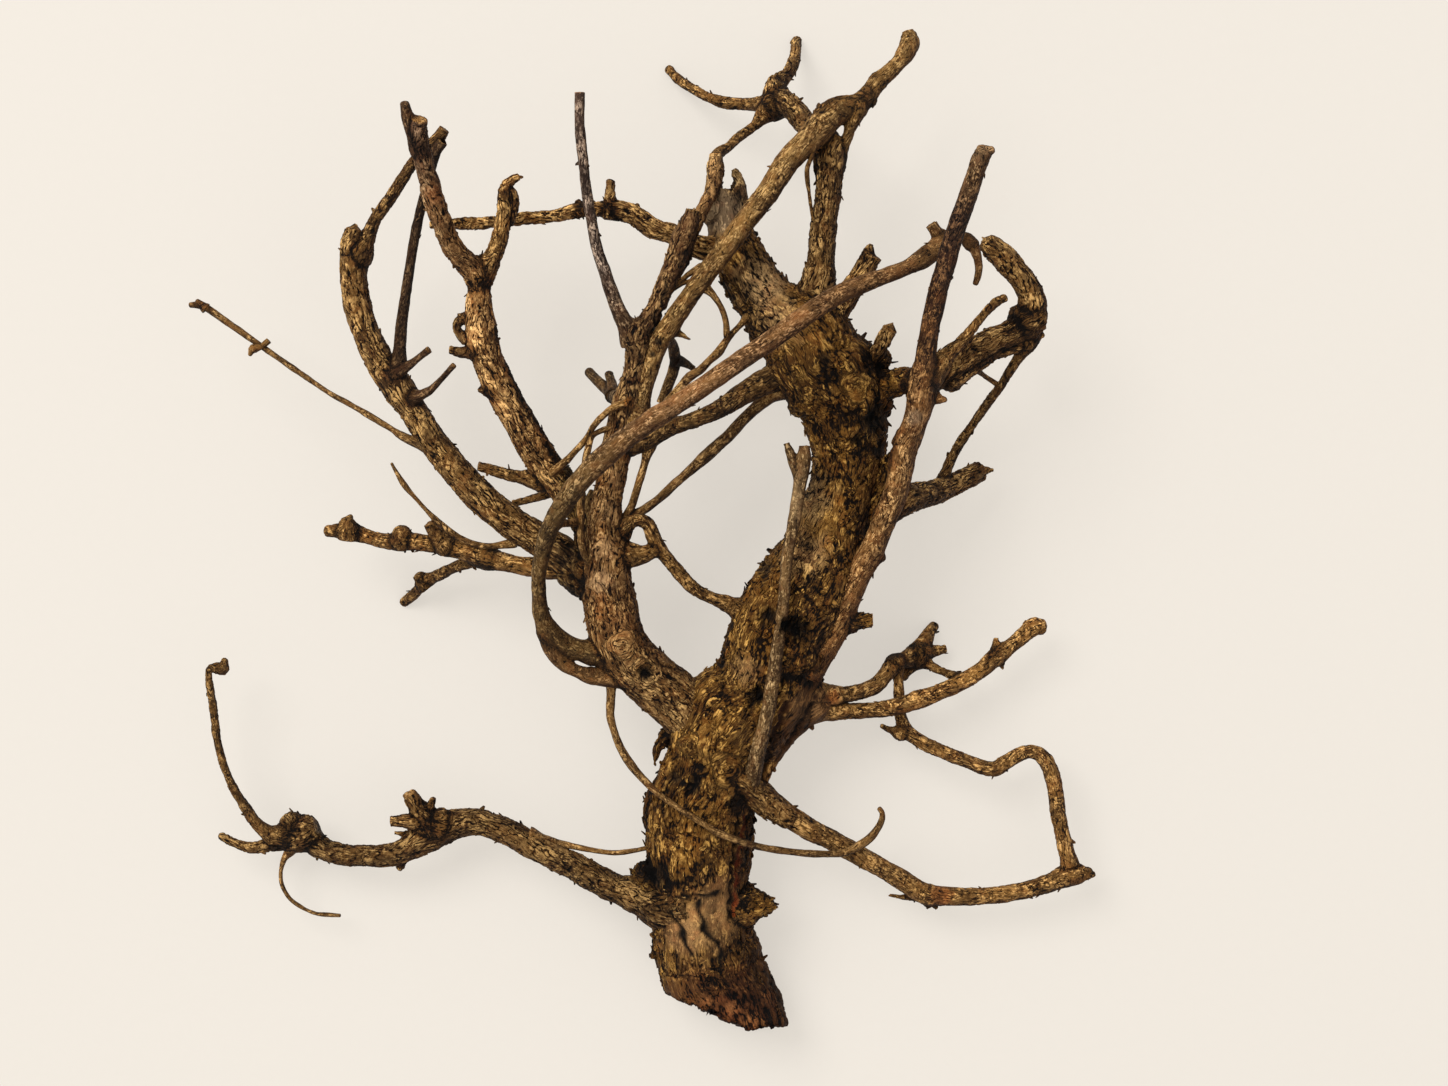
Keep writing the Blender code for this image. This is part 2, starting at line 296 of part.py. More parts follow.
        (-130, 1.5, 30, 2.9), (-136, 3.1, 30, 2.8), (-141, 4.8, 30, 3), (-146, 5.1, 30, 2.6),
        (-150.6, 4.9, 30, 2.2)]),
    "low_left_bump": (4, "round", [(-122.5, 2, 31, 3), (-122.3, 5.4, 32, 2.4)]),
    "leaf_bump": (4, "point", [(-142.5, 5, 30.5, 3.2), (-142.6, 8.5, 31.5, 2.3), (-141.7, 11, 32, 0.8)]),
    "low_left_stub": (5, "cut", [(-106, 0, 33, 3), (-109.6, 4.5, 34.5, 2.4), (-112, 8, 36, 2.1)]),
    "whip_twig": (4, "round", [
        (-79.5, 1, 38.5, 1.6), (-82.5, 0, 38.2, 1.4), (-89.7, -0.7, 38, 1.3), (-96, 0.5, 38, 1.3),
        (-102.4, 3.7, 38.5, 1.2), (-107, 7.3, 39, 1), (-111.5, 11.3, 39.5, 1), (-116.7, 17, 41, 0.9),
        (-121.8, 23, 42.5, 1.1), (-124.2, 27, 43.5, 0.9), (-126.2, 30.6, 44.5, 0.7)]),
    "touch_twig": (5, "round", [
        (-89, -5.5, 33.5, 3), (-96, -6.6, 29, 2.3), (-103, -9, 23, 2.1), (-109, -12, 17, 2.2),
        (-114, -14.6, 12, 2.4), (-116.8, -18, 7, 2), (-121.6, -22, 1, 1.8)]),
    "touch_knob": (4, "round", [(-113.5, -14.6, 12.5, 2.4), (-116, -12, 13, 1.6)]),
    "dark_web": (5, "point", [
        (-49, -10, 44, 6), (-51, 0, 45, 4), (-51.8, 8, 46.5, 3), (-51.6, 15, 48, 2.2),
        (-50.5, 20, 49, 1)]),
    "dark_lobe": (7, "round", [(-48, -16, 46, 7), (-54.5, -14, 42, 6), (-60, -11.5, 40, 4.6)]),
    # Limbs that link the fork's two halves
    "cross_limb": (7, "cut", [
        (30, 66, 52, 8), (22, 64, 53, 6.4), (15, 61.5, 54.5, 5), (10, 58.8, 55.5, 4.5),
        (5, 55.8, 56.5, 4.1), (0, 52.3, 57.5, 3.6), (-5, 49.9, 58, 3.4), (-10, 47.9, 58.5, 3.2),
        (-15, 46.1, 59, 3.2), (-20, 44.6, 59.5, 3.5), (-25, 42.3, 60, 3.8), (-30, 39.5, 60, 4.2),
        (-37, 37.5, 59.5, 4.4)]),
    "straight_twig": (5, "round", [
        (24, 60.5, 51, 4), (16.7, 56, 49.5, 2.6), (11.3, 51.4, 48.5, 2.3), (5.8, 46, 48, 2.3),
        (1.3, 41, 47.5, 2.2), (-3.3, 36.9, 47, 2.5), (-7.8, 32.8, 47, 2.5), (-12, 29, 47.5, 1.9),
        (-16.9, 24.6, 48.5, 1.8), (-26, 16.4, 50, 1.6), (-31.5, 12.5, 51, 1.8), (-38, 9, 52.5, 3)]),
    "hook_twig_left": (6, "cut", [
        (-40, 6.5, 52.5, 3.4), (-34, 9.2, 52, 2.3), (-29.3, 8, 51.5, 2.6), (-27.4, 3.6, 51, 2.8),
        (-25, -1, 50, 2.7), (-21.6, -5.6, 49, 2.5), (-17.6, -10.6, 48, 2.6), (-13.5, -15, 47, 2.6),
        (-9, -18.4, 46, 2.4), (-4, -20.6, 45, 2.4), (1, -22.5, 43.5, 3.2), (7, -25, 41.5, 5),
        (15, -27, 40.5, 7)]),
    "hook_root_left": (5, "cut", [
        (-41, -4.5, 51, 4.4), (-34.5, -4, 51, 3.7), (-30.5, -3.8, 51, 3.2), (-26, -1.5, 50.5, 2.7)]),
    "thin_twig_a": (4, "cut", [
        (-28.5, 38.5, 59, 2.2), (-30.2, 31, 57.5, 1.5), (-33, 22, 55.5, 1.5), (-35.3, 14.5, 53.5, 1.6),
        (-38, 8.5, 52.5, 2.4)]),
    "thin_twig_b": (4, "cut", [
        (-8.5, 98, 71, 1.6), (-4.5, 94.5, 70, 1.3), (-1.2, 89.5, 68.5, 1.3), (0.5, 84, 67, 1.3),
        (0.8, 78.5, 65, 1.3)]),
    "thin_twig_c": (4, "round", [
        (8.5, 86, 58, 1.4), (5.5, 82.7, 61, 1.2), (1.6, 78.6, 64.5, 1.3), (-2.4, 72.8, 65, 1.8),
        (-6, 69.5, 65, 1.4), (-9.5, 66, 65, 1.6), (-13.3, 63.6, 64.5, 1.8), (-16.5, 60, 63.5, 1.6),
        (-20, 56, 62.5, 1.5), (-23.5, 52, 61, 1.4), (-29, 46, 60.5, 1.8)]),
    "orange_tip_twig": (4, "round", [
        (-37, 53.6, 69, 1), (-41.5, 52.3, 68.5, 1.4), (-45.8, 49, 67.5, 1.4), (-49.5, 45, 66, 1.4),
        (-52.3, 40.2, 64.5, 1.3), (-56, 36, 62, 1.3), (-60.3, 31.4, 57.5, 1.4), (-65.5, 27, 51, 1.8)]),
    "front_stem": (4, "cut", [
        (-42, 44.5, 63.5, 1.4), (-47, 43, 65, 1.3), (-50.2, 41, 65.5, 1.2), (-52, 35, 65.5, 1.3),
        (-53.5, 27, 64.5, 1.3), (-54.4, 17, 62.5, 1.4), (-54.5, 6, 60, 1.4), (-53, -4, 56.5, 1.6),
        (-48, -10, 52, 2.4)]),
    # Faint twigs low behind the front limb
    "behind_twig": (4, "cut", [
        (-31, 82, 65, 3.2), (-25.5, 80.5, 50, 2.2), (-20.5, 77, 36, 1.9), (-18.7, 70.5, 27, 2.3),
        (-19.4, 66, 24, 2.2), (-21.5, 60, 21.5, 2), (-24, 53.6, 20, 1.8)]),
    "behind_side": (4, "cut", [(-18.8, 70, 27, 1.9), (-15.2, 68.8, 24, 1.6), (-11.8, 66.6, 21.5, 1.2)]),
    "pair_twig": (4, "round", [
        (-37, 56, 60, 3.6), (-41.8, 56, 44, 2.8), (-44.5, 58.6, 34, 2.3), (-48.4, 62.2, 27, 2),
        (-51.4, 65.2, 22, 1.8)]),
    "pair_second": (4, "cut", [(-42, 56, 43, 2.4), (-42.8, 60.5, 36, 2), (-43.8, 64.6, 31, 1.7)]),
    # Thin runner from the fork over the lower trunk to the right
    "runner": (4, "round", [
        (-42.5, -48, 41, 3), (-43, -56, 41.5, 1.8), (-43.3, -65, 42.5, 1.6), (-41.5, -72, 43.5, 1.5),
        (-38.5, -79, 44.5, 1.5), (-34, -85.5, 45.5, 1.6), (-29, -91, 46, 1.5), (-24, -95.4, 46.4, 1.2),
        (-17, -100.2, 47.2, 1.1), (-10, -104.7, 47.6, 1.2), (-3, -109, 47.6, 1.5), (4, -112, 46, 1.5),
        (11, -114.2, 42.5, 1.4), (20, -115.8, 38, 1.4), (30, -117, 33.5, 1.4), (39, -117.4, 30, 1.4),
        (45.5, -116.8, 28.2, 1.5), (51.5, -114, 28, 1.8), (56.4, -109.8, 29, 1.6), (59.4, -105, 31, 1.4),
        (59.7, -101.8, 32, 1.2), (58.7, -100.2, 32.5, 1.1)]),
    # Right limbs, low over the table
    "right_low_limb": (7, "round", [
        (24, -61, 34.5, 8.5), (33, -62, 33, 6.4), (40, -63, 30.5, 3.8), (48, -63.3, 28, 3.1),
        (56, -62.9, 26, 2.9), (63, -61.8, 24.2, 3.2), (69, -60.4, 22.8, 3.3), (73.5, -58.8, 22, 3.6),
        (78.5, -57.2, 21.3, 3.1), (87, -53.6, 20.5, 3.1), (92, -51, 20, 3.2), (97, -47.8, 20, 3.1),
        (101, -44.3, 20, 3.2), (104.5, -41.5, 20, 3.3), (109, -38, 20, 2.9), (113.5, -34.2, 20, 3.1),
        (117.5, -31.3, 20, 3.6), (120.3, -31.3, 20, 3)]),
    "low_limb_nub": (4, "cut", [(103, -41, 20, 1.6), (102.8, -35.4, 20, 0.9)]),
    "low_limb_thorn": (4, "point", [(104, -43, 19.5, 1.4), (105.3, -47, 19, 0.5)]),
    "right_upper_limb": (7, "round", [
        (24, -57, 35.5, 8), (33, -56.6, 35, 5.6), (40, -56.8, 33.5, 3.8), (46, -56.8, 31.5, 2.9),
        (52, -55.7, 29, 3), (57, -53.6, 26.3, 3.1), (60.4, -50.2, 23.6, 3), (63, -46.6, 20.5, 3),
        (66, -44.6, 17.5, 2.8), (70, -43, 13.5, 3.4), (73.5, -41.2, 10.5, 3.8), (75.6, -37, 7.2, 3),
        (77.6, -33.4, 4, 2.3), (79.4, -30.9, 1.2, 1.9)]),
    "fork_stub": (4, "cut", [(74.5, -41.3, 10, 2.6), (79.5, -40.6, 7.5, 1.9), (83.6, -39.7, 6, 1.7)]),
    "fork_tail": (4, "round", [(72.5, -42.8, 11, 3), (69.3, -47, 11, 2.2), (67.8, -50.6, 12, 1.6)]),
    "fork_link": (4, "cut", [
        (73, -43, 10.5, 2.2), (78, -46, 12.5, 1.6), (83, -48.4, 15, 1.5), (89.5, -51, 18.5, 1.9)]),
    "right_loop": (6, "cut", [
        (64.5, -44.5, 19.5, 2.4), (65.7, -50, 18, 2), (66, -56, 17, 2), (66.2, -62, 16.6, 2.1),
        (67, -66.5, 17, 2.4), (69, -70.7, 17.5, 2.7), (73.5, -74.2, 18, 2.7), (79, -77, 18.5, 2.7),
        (86, -80, 19, 2.7), (94, -83, 19.5, 2.7), (99, -84.8, 20, 2.9), (102.8, -85, 20, 3),
        (107, -82.4, 20, 2.8), (111, -79.9, 20, 2.7), (115.5, -78.6, 20, 2.6), (119.6, -79.9, 20, 2.8),
        (122.7, -83.6, 20, 2.9), (124.5, -89, 20, 3), (125.5, -95, 20, 2.9), (126.2, -101, 20, 3),
        (127.6, -108, 20, 3), (129.2, -115, 20, 3), (131, -122, 20, 3.3)]),
    "loop_nub": (4, "round", [(66.5, -71.5, 18, 2), (62.5, -70.2, 18, 1.1), (59.4, -68.7, 18, 0.9)]),
    "low_right_limb": (7, "point", [
        (4, -89, 32, 8), (12, -94, 31.5, 5.8), (18, -98.5, 30, 4.9), (25, -103.5, 28, 4.4),
        (32, -107.8, 26, 4.2), (40, -111.8, 24.5, 4), (47, -115.6, 23.3, 3.8), (54, -119.6, 22.2, 3.8),
        (60, -123, 21.2, 3.7), (66, -126.6, 20.3, 3.9), (72, -130.4, 19.4, 3.8), (77, -132.6, 18.8, 3.9),
        (84, -133.4, 18.3, 3.5), (92, -133.7, 18, 3.4), (100, -133.2, 18, 3.2), (108, -132.2, 18, 3.2),
        (116, -130.5, 18, 3.3), (123, -128.4, 18.5, 3.6), (129, -126, 19, 4.1), (134, -125, 19, 3.8),
        (138, -124.9, 19, 2.4), (139.9, -125.2, 19, 1.3)]),
    "splinter_long": (4, "point", [(77, -133, 17.5, 1.8), (70, -133.8, 17, 1), (62.3, -133, 17, 0.5)]),
    "splinter_down": (4, "point", [(76.5, -133.5, 17, 1.6), (77, -138, 16.5, 0.5)]),
    "splinter_side": (4, "point", [(77.5, -133.5, 17, 1.6), (80.3, -138, 16.5, 0.6)]),
    # Low left limb with cut stubs, upright twig and curled twig
    "left_low": (8, "round", [
        (-14, -135.5, 27, 13), (-24, -135.5, 26.5, 10.3), (-33, -133, 26, 7), (-41, -130.5, 25.5, 5.5),
        (-46.5, -128, 25, 5.3), (-52, -125, 24.5, 5.5), (-57, -122, 24, 5.2), (-62, -119.6, 23.5, 4.9),
        (-67.5, -117, 23, 4.9), (-73, -114.2, 22.5, 5.1), (-78, -111.2, 22, 5.1),
        (-83, -108.6, 21.5, 4.9), (-88, -106.7, 21, 4.7), (-94, -105.2, 21, 5.1),
        (-100, -105.7, 21, 5.3), (-105.5, -107.3, 20.5, 5.8), (-111, -109.7, 20, 6.2),
        (-116, -112.6, 20, 5.8), (-121.5, -116, 19.5, 4.5), (-128, -117.8, 19, 4.2),
        (-136, -118, 18.5, 4.1), (-144, -117.8, 18, 4.1), (-150, -116.2, 18, 4.1),
        (-155, -113.6, 18, 4.3), (-159.3, -110, 18, 4.8), (-163, -106.6, 18, 4.9),
        (-165.5, -104.3, 18, 3.8)]),
    "left_low_tail": (6, "round", [
        (-159, -109.5, 17.5, 4.8), (-165, -111.2, 17, 4.4), (-170, -112.8, 16.5, 3.2),
        (-175.5, -114.5, 16, 2.3), (-181, -114.7, 15.5, 2), (-186.3, -112.8, 15, 1.8),
        (-190.8, -110.6, 15, 1.3)]),
    "tall_twig": (5, "round", [
        (-166, -110.2, 17.5, 3.6), (-171, -110.2, 18.3, 2.8), (-175, -108.1, 19.3, 2.4),
        (-178.5, -104.5, 20.2, 2.1), (-181.5, -99.9, 21, 1.95), (-185, -94.5, 22, 1.7),
        (-188.5, -87.2, 23, 1.5), (-191, -79.9, 23.8, 1.5), (-192.6, -72.6, 24.6, 1.6),
        (-193.6, -63.5, 25.5, 1.6), (-195, -54.4, 26.5, 1.5), (-195.6, -49, 27, 1.4),
        (-195, -46.9, 27, 1.4), (-192.6, -46.8, 27, 2.3), (-190.4, -47, 27, 2.5),
        (-189.5, -43.8, 27, 1.2)]),
    "curled_twig": (4, "round", [
        (-161.5, -111.5, 17, 3), (-164.5, -116, 16, 1.8), (-167, -119.6, 15, 1.1),
        (-168.2, -124, 14, 0.9), (-167.8, -129, 13.5, 0.8), (-165, -134, 13, 0.75),
        (-160.5, -137.5, 12.5, 0.75), (-155, -139.9, 12, 0.75), (-150, -140.4, 12, 0.9),
        (-145.8, -140.7, 12, 0.7)]),
    "saw_stub": (6, "cut", [
        (-111.5, -106, 22, 4.2), (-115.6, -101, 25, 3.1), (-117.8, -97.5, 27, 2.9),
        (-119.6, -94.3, 28.5, 2.6)]),
    "pin_stub": (4, "cut", [(-113, -102.5, 24, 1.6), (-110.2, -96.2, 26.5, 0.9)]),
    "split_stub": (5, "broken", [
        (-109, -106, 22.5, 4), (-115, -105, 24.5, 2.7), (-121, -104.8, 26, 2.4),
        (-126.6, -104.9, 27, 2)]),
    "thin_stub": (4, "cut", [(-114, -111, 20, 3), (-119, -110, 20, 1.4), (-125.2, -109.3, 20, 0.8)]),
    "low_peg": (4, "round", [(-122.5, -118, 18.5, 2), (-123, -123, 18, 0.9)]),
    "stray_twig": (4, "cut", [
        (-74, -111.5, 22.5, 3.2), (-68, -112.4, 22.5, 2), (-62, -113.6, 22.5, 1.4), (-55, -115, 23, 1.2),
        (-48, -116.3, 24, 1), (-41, -116.9, 25, 1), (-34, -116, 26, 1), (-26, -114.4, 27, 1.2)]),
}


def chance(*key):
    """A steady number from 0 to 1 for any key."""
    value = sum((i + 1) * 12.9898 * k for i, k in enumerate(key))
    return (math.sin(value + BARK_SEED) * 43758.5453) % 1.0


def eye_scale(height):
    return (EYE_HEIGHT - height) / (EYE_HEIGHT - PLANE_HEIGHT)


def place(point):
    """Measured east, north, height and radius to true millimetres."""
    east, north, height, radius = point
    k = eye_scale(height)
    return Vector((east * k + SHIFT_E, north * k + SHIFT_N, height)), radius * k


def fine_route(points):
    """A close chain of (position, radius) through the given points."""
    placed = [place(p) for p in points]
    if len(placed) == 2:
        (a, ra), (b, rb) = placed
        return [(a.lerp(b, t / 4), ra + (rb - ra) * t / 4) for t in range(5)]
    chain = []
    for i in range(len(placed) - 1):
        p1, r1 = placed[i]
        p2, r2 = placed[i + 1]
        p0, r0 = placed[i - 1] if i else (p1 * 2 - p2, r1)
        p3, r3 = placed[i + 2] if i + 2 < len(placed) else (p2 * 2 - p1, r2)
        span = (p2 - p1).length
        m1 = (p2 - p0) * (span / max((p2 - p1).length + (p1 - p0).length, 1e-6))
        m2 = (p3 - p1) * (span / max((p3 - p2).length + (p2 - p1).length, 1e-6))
        count = max(4, int(span))
        for j in range(count):
            t = j / count
            a, b = 2 * t**3 - 3 * t**2 + 1, t**3 - 2 * t**2 + t
            c, d = -2 * t**3 + 3 * t**2, t**3 - t**2
            chain.append((p1 * a + m1 * b + p2 * c + m2 * d, r1 + (r2 - r1) * (3 * t**2 - 2 * t**3)))
    chain.append(placed[-1])
    return chain


def thin_route(chain, tolerance, longest):
    """Keep only the stations that the curve and its radius need."""
    keep = {0, len(chain) - 1}

    def split(a, b):
        (pa, ra), (pb, rb) = chain[a], chain[b]
        span = pb - pa
        length = span.length
        worst, where = 0.0, None
        for i in range(a + 1, b):
            p, r = chain[i]
            t = max(0.0, min(1.0, (p - pa).dot(span) / max(length**2, 1e-9)))
            off = (p - pa - span * t).length + 0.8 * abs(r - ra - (rb - ra) * t)
            if off > worst:
                worst, where = off, i
        if where is None:
            return
        if worst > tolerance:
            keep.add(where)
        elif length > longest:
            where = (a + b) // 2
            keep.add(where)
        else:
            return
        split(a, where)
        split(where, b)

    split(0, len(chain) - 1)
    return [chain[i] for i in sorted(keep)]


def add_end(stations, end):
    """Round or chamfer the last station."""
    (p, r), (q, _) = stations[-1], stations[-2]
    ahead = (p - q).normalized()
    if end == "round" and r > 0.8:
        stations.append((p + ahead * r * 0.55, r * 0.62))
    elif end == "cut" and r > 1.2:
        stations.append((p + ahead * r * 0.18, r * 0.8))
    return stations


def frames(stations):
    """Tangent and two side directions at each station, with no twist."""
    count = len(stations)
    out = []
    side = None
    for i in range(count):
        a = stations[max(i - 1, 0)][0]
        b = stations[min(i + 1, count - 1)][0]
        tangent = (b - a).normalized()
        if side is None:
            start = Vector((0, 0, 1)) if abs(tangent.z) < 0.9 else Vector((1, 0, 0))
            side = start
        side = (side - tangent * side.dot(tangent)).normalized()
        out.append((tangent, side, tangent.cross(side).normalized()))
    return out


def bark_factor(name, along, angle, radius, sides):
    """Ridges along the grain and slow lumps."""
    if sides < 7:
        lumps = noise.noise(Vector((along * 0.11, math.cos(angle), BARK_SEED + len(name))))
        return 1 + 0.05 * lumps
    depth = BARK_DEPTH if name == "trunk" else LIMB_BARK_DEPTH
    c, s = math.cos(angle) * radius, math.sin(angle) * radius
    ridges = noise.noise(Vector((along * 0.035, c * 0.33, s * 0.33 + BARK_SEED)))
    lumps = noise.noise(Vector((along * 0.09 + 40, c * 0.12, s * 0.12 + len(name))))
    return 1 + depth * (1.1 * ridges + 1.2 * lumps)


def tube(name, sides, stations, thickness, rough_end):
    """Closed skin of rings round the stations."""
    mesh = bmesh.new()
    rings = []
    axes = frames(stations)
    along = 0.0
    for i, ((centre, radius), (tangent, side, other)) in enumerate(zip(stations, axes)):
        if i:
            along += (centre - stations[i - 1][0]).length
        ring = []
        for j in range(sides):
            angle = math.tau * (j + 0.5 * (i % 2) * (sides < 9)) / sides
            reach = radius * bark_factor(name, along, angle, radius, sides)
            offset = side * math.cos(angle) * reach + other * math.sin(angle) * reach
            offset.z *= thickness
            if rough_end and i == len(stations) - 1:
                offset += tangent * radius * 1.3 * (chance(j, len(name), sides) - 0.35)
            ring.append(mesh.verts.new(centre + offset))
        rings.append(ring)
    for a, b in zip(rings, rings[1:]):
        for j in range(sides):
            k = (j + 1) % sides
            mesh.faces.new((a[j], a[k], b[k], b[j]))
    mesh.faces.new(rings[0][::-1])
    if rough_end:
        (p, r), (q, _) = stations[-1], stations[-2]
        middle = mesh.verts.new(p - (p - q).normalized() * r * 0.3)
        for j in range(sides):
            mesh.faces.new((rings[-1][j], rings[-1][(j + 1) % sides], middle))
    else:
        mesh.faces.new(rings[-1])
    return mesh


def finish(mesh, name, collection):
    """Triangles, outward faces, metres, and a linked object."""
    bmesh.ops.triangulate(mesh, faces=mesh.faces[:])
    bmesh.ops.recalc_face_normals(mesh, faces=mesh.faces[:])
    for vert in mesh.verts:
        vert.co *= MM
    data = bpy.data.meshes.new(name)
    mesh.to_mesh(data)
    mesh.free()
    item = bpy.data.objects.new(name, data)
    collection.objects.link(item)
    return item


def flare_root(chain):
    """Widen a limb where it leaves its parent."""
    root = chain[0][1]
    out = []
    along = 0.0
    for i, (p, r) in enumerate(chain):
        if i:
            along += (p - chain[i - 1][0]).length
        out.append((p, r * (1 + FLARE * math.exp(-(along / (1.6 * root + 1.0)) ** 2))))
    return out


def make_limb(name, sides, end, points, collection):
    chain = fine_route(points)
    if name != "trunk" and chain[0][1] < 5:
        chain = flare_root(chain)
    step = TRUNK_STEP if name == "trunk" else LONGEST_STEP
    stations = thin_route(chain, CURVE_TOLERANCE, step)
    rough = end == "broken"
    if name != "trunk":
        stations = add_end(stations, end)
    thickness = TRUNK_THICKNESS if name == "trunk" else LIMB_THICKNESS
    if max(p[3] for p in points) < 4:
        thickness = 1.0
    mesh = tube(name, sides, stations, thickness, rough)
    if name == "trunk":
        saw_off(mesh)
    finish(mesh, name, collection)


def saw_off(mesh):
    """Cut the lower end of the trunk with its planes and close it."""
    k = eye_scale(18)
    for (px, py), (nx, ny) in END_CUTS:
        cut = bmesh.ops.bisect_plane(
            mesh, geom=mesh.verts[:] + mesh.edges[:] + mesh.faces[:], dist=0.001,
            plane_co=(px * k + SHIFT_E, py * k + SHIFT_N, 0), plane_no=(nx, ny, 0), clear_outer=True)
        rim = [g for g in cut["geom_cut"] if isinstance(g, bmesh.types.BMEdge)]
        bmesh.ops.edgeloop_fill(mesh, edges=rim)


def join_all(base, collection):
    """One body from the trunk and everything that touches it."""
    union = base.modifiers.new("union", "BOOLEAN")
    union.operation = "UNION"
    union.operand_type = "COLLECTION"
    union.collection = collection
    union.solver = "MANIFOLD"
    bpy.context.view_layer.update()
    graph = bpy.context.evaluated_depsgraph_get()
    data = bpy.data.meshes.new_from_object(base.evaluated_get(graph))
    base.modifiers.clear()
    base.data = data
    for item in list(collection.objects):
        bpy.data.objects.remove(item)


def keep_body(item):
    """Drop scraps and sealed pockets, leaving one closed body of triangles."""
    mesh = bmesh.new()
    mesh.from_mesh(item.data)
    bmesh.ops.triangulate(mesh, faces=mesh.faces[:])
    mesh.verts.ensure_lookup_table()
    shell = {}
    for start in mesh.verts:
        if start.index in shell:
            continue
        stack, mark = [start], start.index
        shell[start.index] = mark
        while stack:
            for edge in stack.pop().link_edges:
                for vert in edge.verts:
                    if vert.index not in shell:
                        shell[vert.index] = mark
                        stack.append(vert)
    sizes = {}
    for mark in shell.values():
        sizes[mark] = sizes.get(mark, 0) + 1
    main_shell = max(sizes, key=sizes.get)
    print("shells", len(sizes), "triangles", len(mesh.faces))
    doomed = [v for v in mesh.verts if shell[v.index] != main_shell]
    bmesh.ops.delete(mesh, geom=doomed, context="VERTS")
    mesh.to_mesh(item.data)
    mesh.free()


def thin_triangles(item):
    """Merge the smallest triangles until the body keeps to its budget."""
    count = len(item.data.polygons)
    if count <= TRIANGLE_BUDGET:
        return
    thin = item.modifiers.new("thin", "DECIMATE")
    thin.ratio = TRIANGLE_BUDGET / count
    graph = bpy.context.evaluated_depsgraph_get()
    data = bpy.data.meshes.new_from_object(item.evaluated_get(graph))
    item.modifiers.clear()
    item.data = data


def rest(item):
    """Flatten what reaches below the table, so the piece stands on small flats."""
    for vert in item.data.vertices:
        vert.co.z = max(vert.co.z, 0.0)


def centre(item):
    """Put the middle of the box's lower side at the origin."""
    points = item.data.vertices
    low = [min(v.co[i] for v in points) for i in range(3)]
    high = [max(v.co[i] for v in points) for i in range(3)]
    middle = Vector(((low[0] + high[0]) / 2, (low[1] + high[1]) / 2, low[2]))
    print("off centre by", [round(c * 1000, 3) for c in middle])
    for vert in points:
        vert.co -= middle


def clear_scene():
    for item in list(bpy.data.objects):
        bpy.data.objects.remove(item)


def main():
    clear_scene()
    scene = bpy.context.scene.collection
    parts = bpy.data.collections.new("growths")
    scene.children.link(parts)
    for name, (sides, end, points) in LIMBS.items():
        make_limb(name, sides, end, points, scene if name == "trunk" else parts)
    trunk = bpy.data.objects["trunk"]
    join_all(trunk, parts)
    bpy.data.collections.remove(parts)
    keep_body(trunk)
    rest(trunk)
    thin_triangles(trunk)
    rest(trunk)
    centre(trunk)
    trunk.name = NODE
    trunk.data.name = NODE
    wood = bpy.data.materials.new("weathered_wood")
    wood.use_nodes = True
    shader = wood.node_tree.nodes["Principled BSDF"]
    shader.inputs["Base Color"].default_value = WOOD_COLOR
    shader.inputs["Roughness"].default_value = WOOD_ROUGHNESS
    trunk.data.materials.clear()
    trunk.data.materials.append(wood)
    for face in trunk.data.polygons:
        face.material_index = 0
        face.use_smooth = False
    print("triangles", len(trunk.data.polygons))


main()
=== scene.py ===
# %% [markdown]
# # A piece of driftwood with its crown of crooked limbs
# This notebook dresses a imported CAD body. The real thing is one dry branch: a short thick
# trunk with a hacked foot, two halves of a fork, and about a hundred limbs, stubs and twigs.
# Here it lies on its back, with +Y from the foot to the crown and +Z up, in metres.
# We load the frame first.

import bpy
import numpy as np
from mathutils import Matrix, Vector


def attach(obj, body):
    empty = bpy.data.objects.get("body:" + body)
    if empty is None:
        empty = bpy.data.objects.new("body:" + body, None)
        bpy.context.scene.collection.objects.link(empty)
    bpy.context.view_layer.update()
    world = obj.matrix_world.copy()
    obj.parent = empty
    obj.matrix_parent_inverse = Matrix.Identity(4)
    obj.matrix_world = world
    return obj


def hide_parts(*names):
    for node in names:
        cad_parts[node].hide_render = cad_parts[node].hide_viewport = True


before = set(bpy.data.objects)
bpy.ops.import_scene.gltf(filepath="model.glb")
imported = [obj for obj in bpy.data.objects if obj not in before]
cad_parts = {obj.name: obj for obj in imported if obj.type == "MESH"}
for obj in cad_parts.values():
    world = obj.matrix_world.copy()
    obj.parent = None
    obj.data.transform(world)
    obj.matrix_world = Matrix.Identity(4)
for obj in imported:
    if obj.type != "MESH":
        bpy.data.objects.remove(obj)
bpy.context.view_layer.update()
NODE = "driftwood_tree"
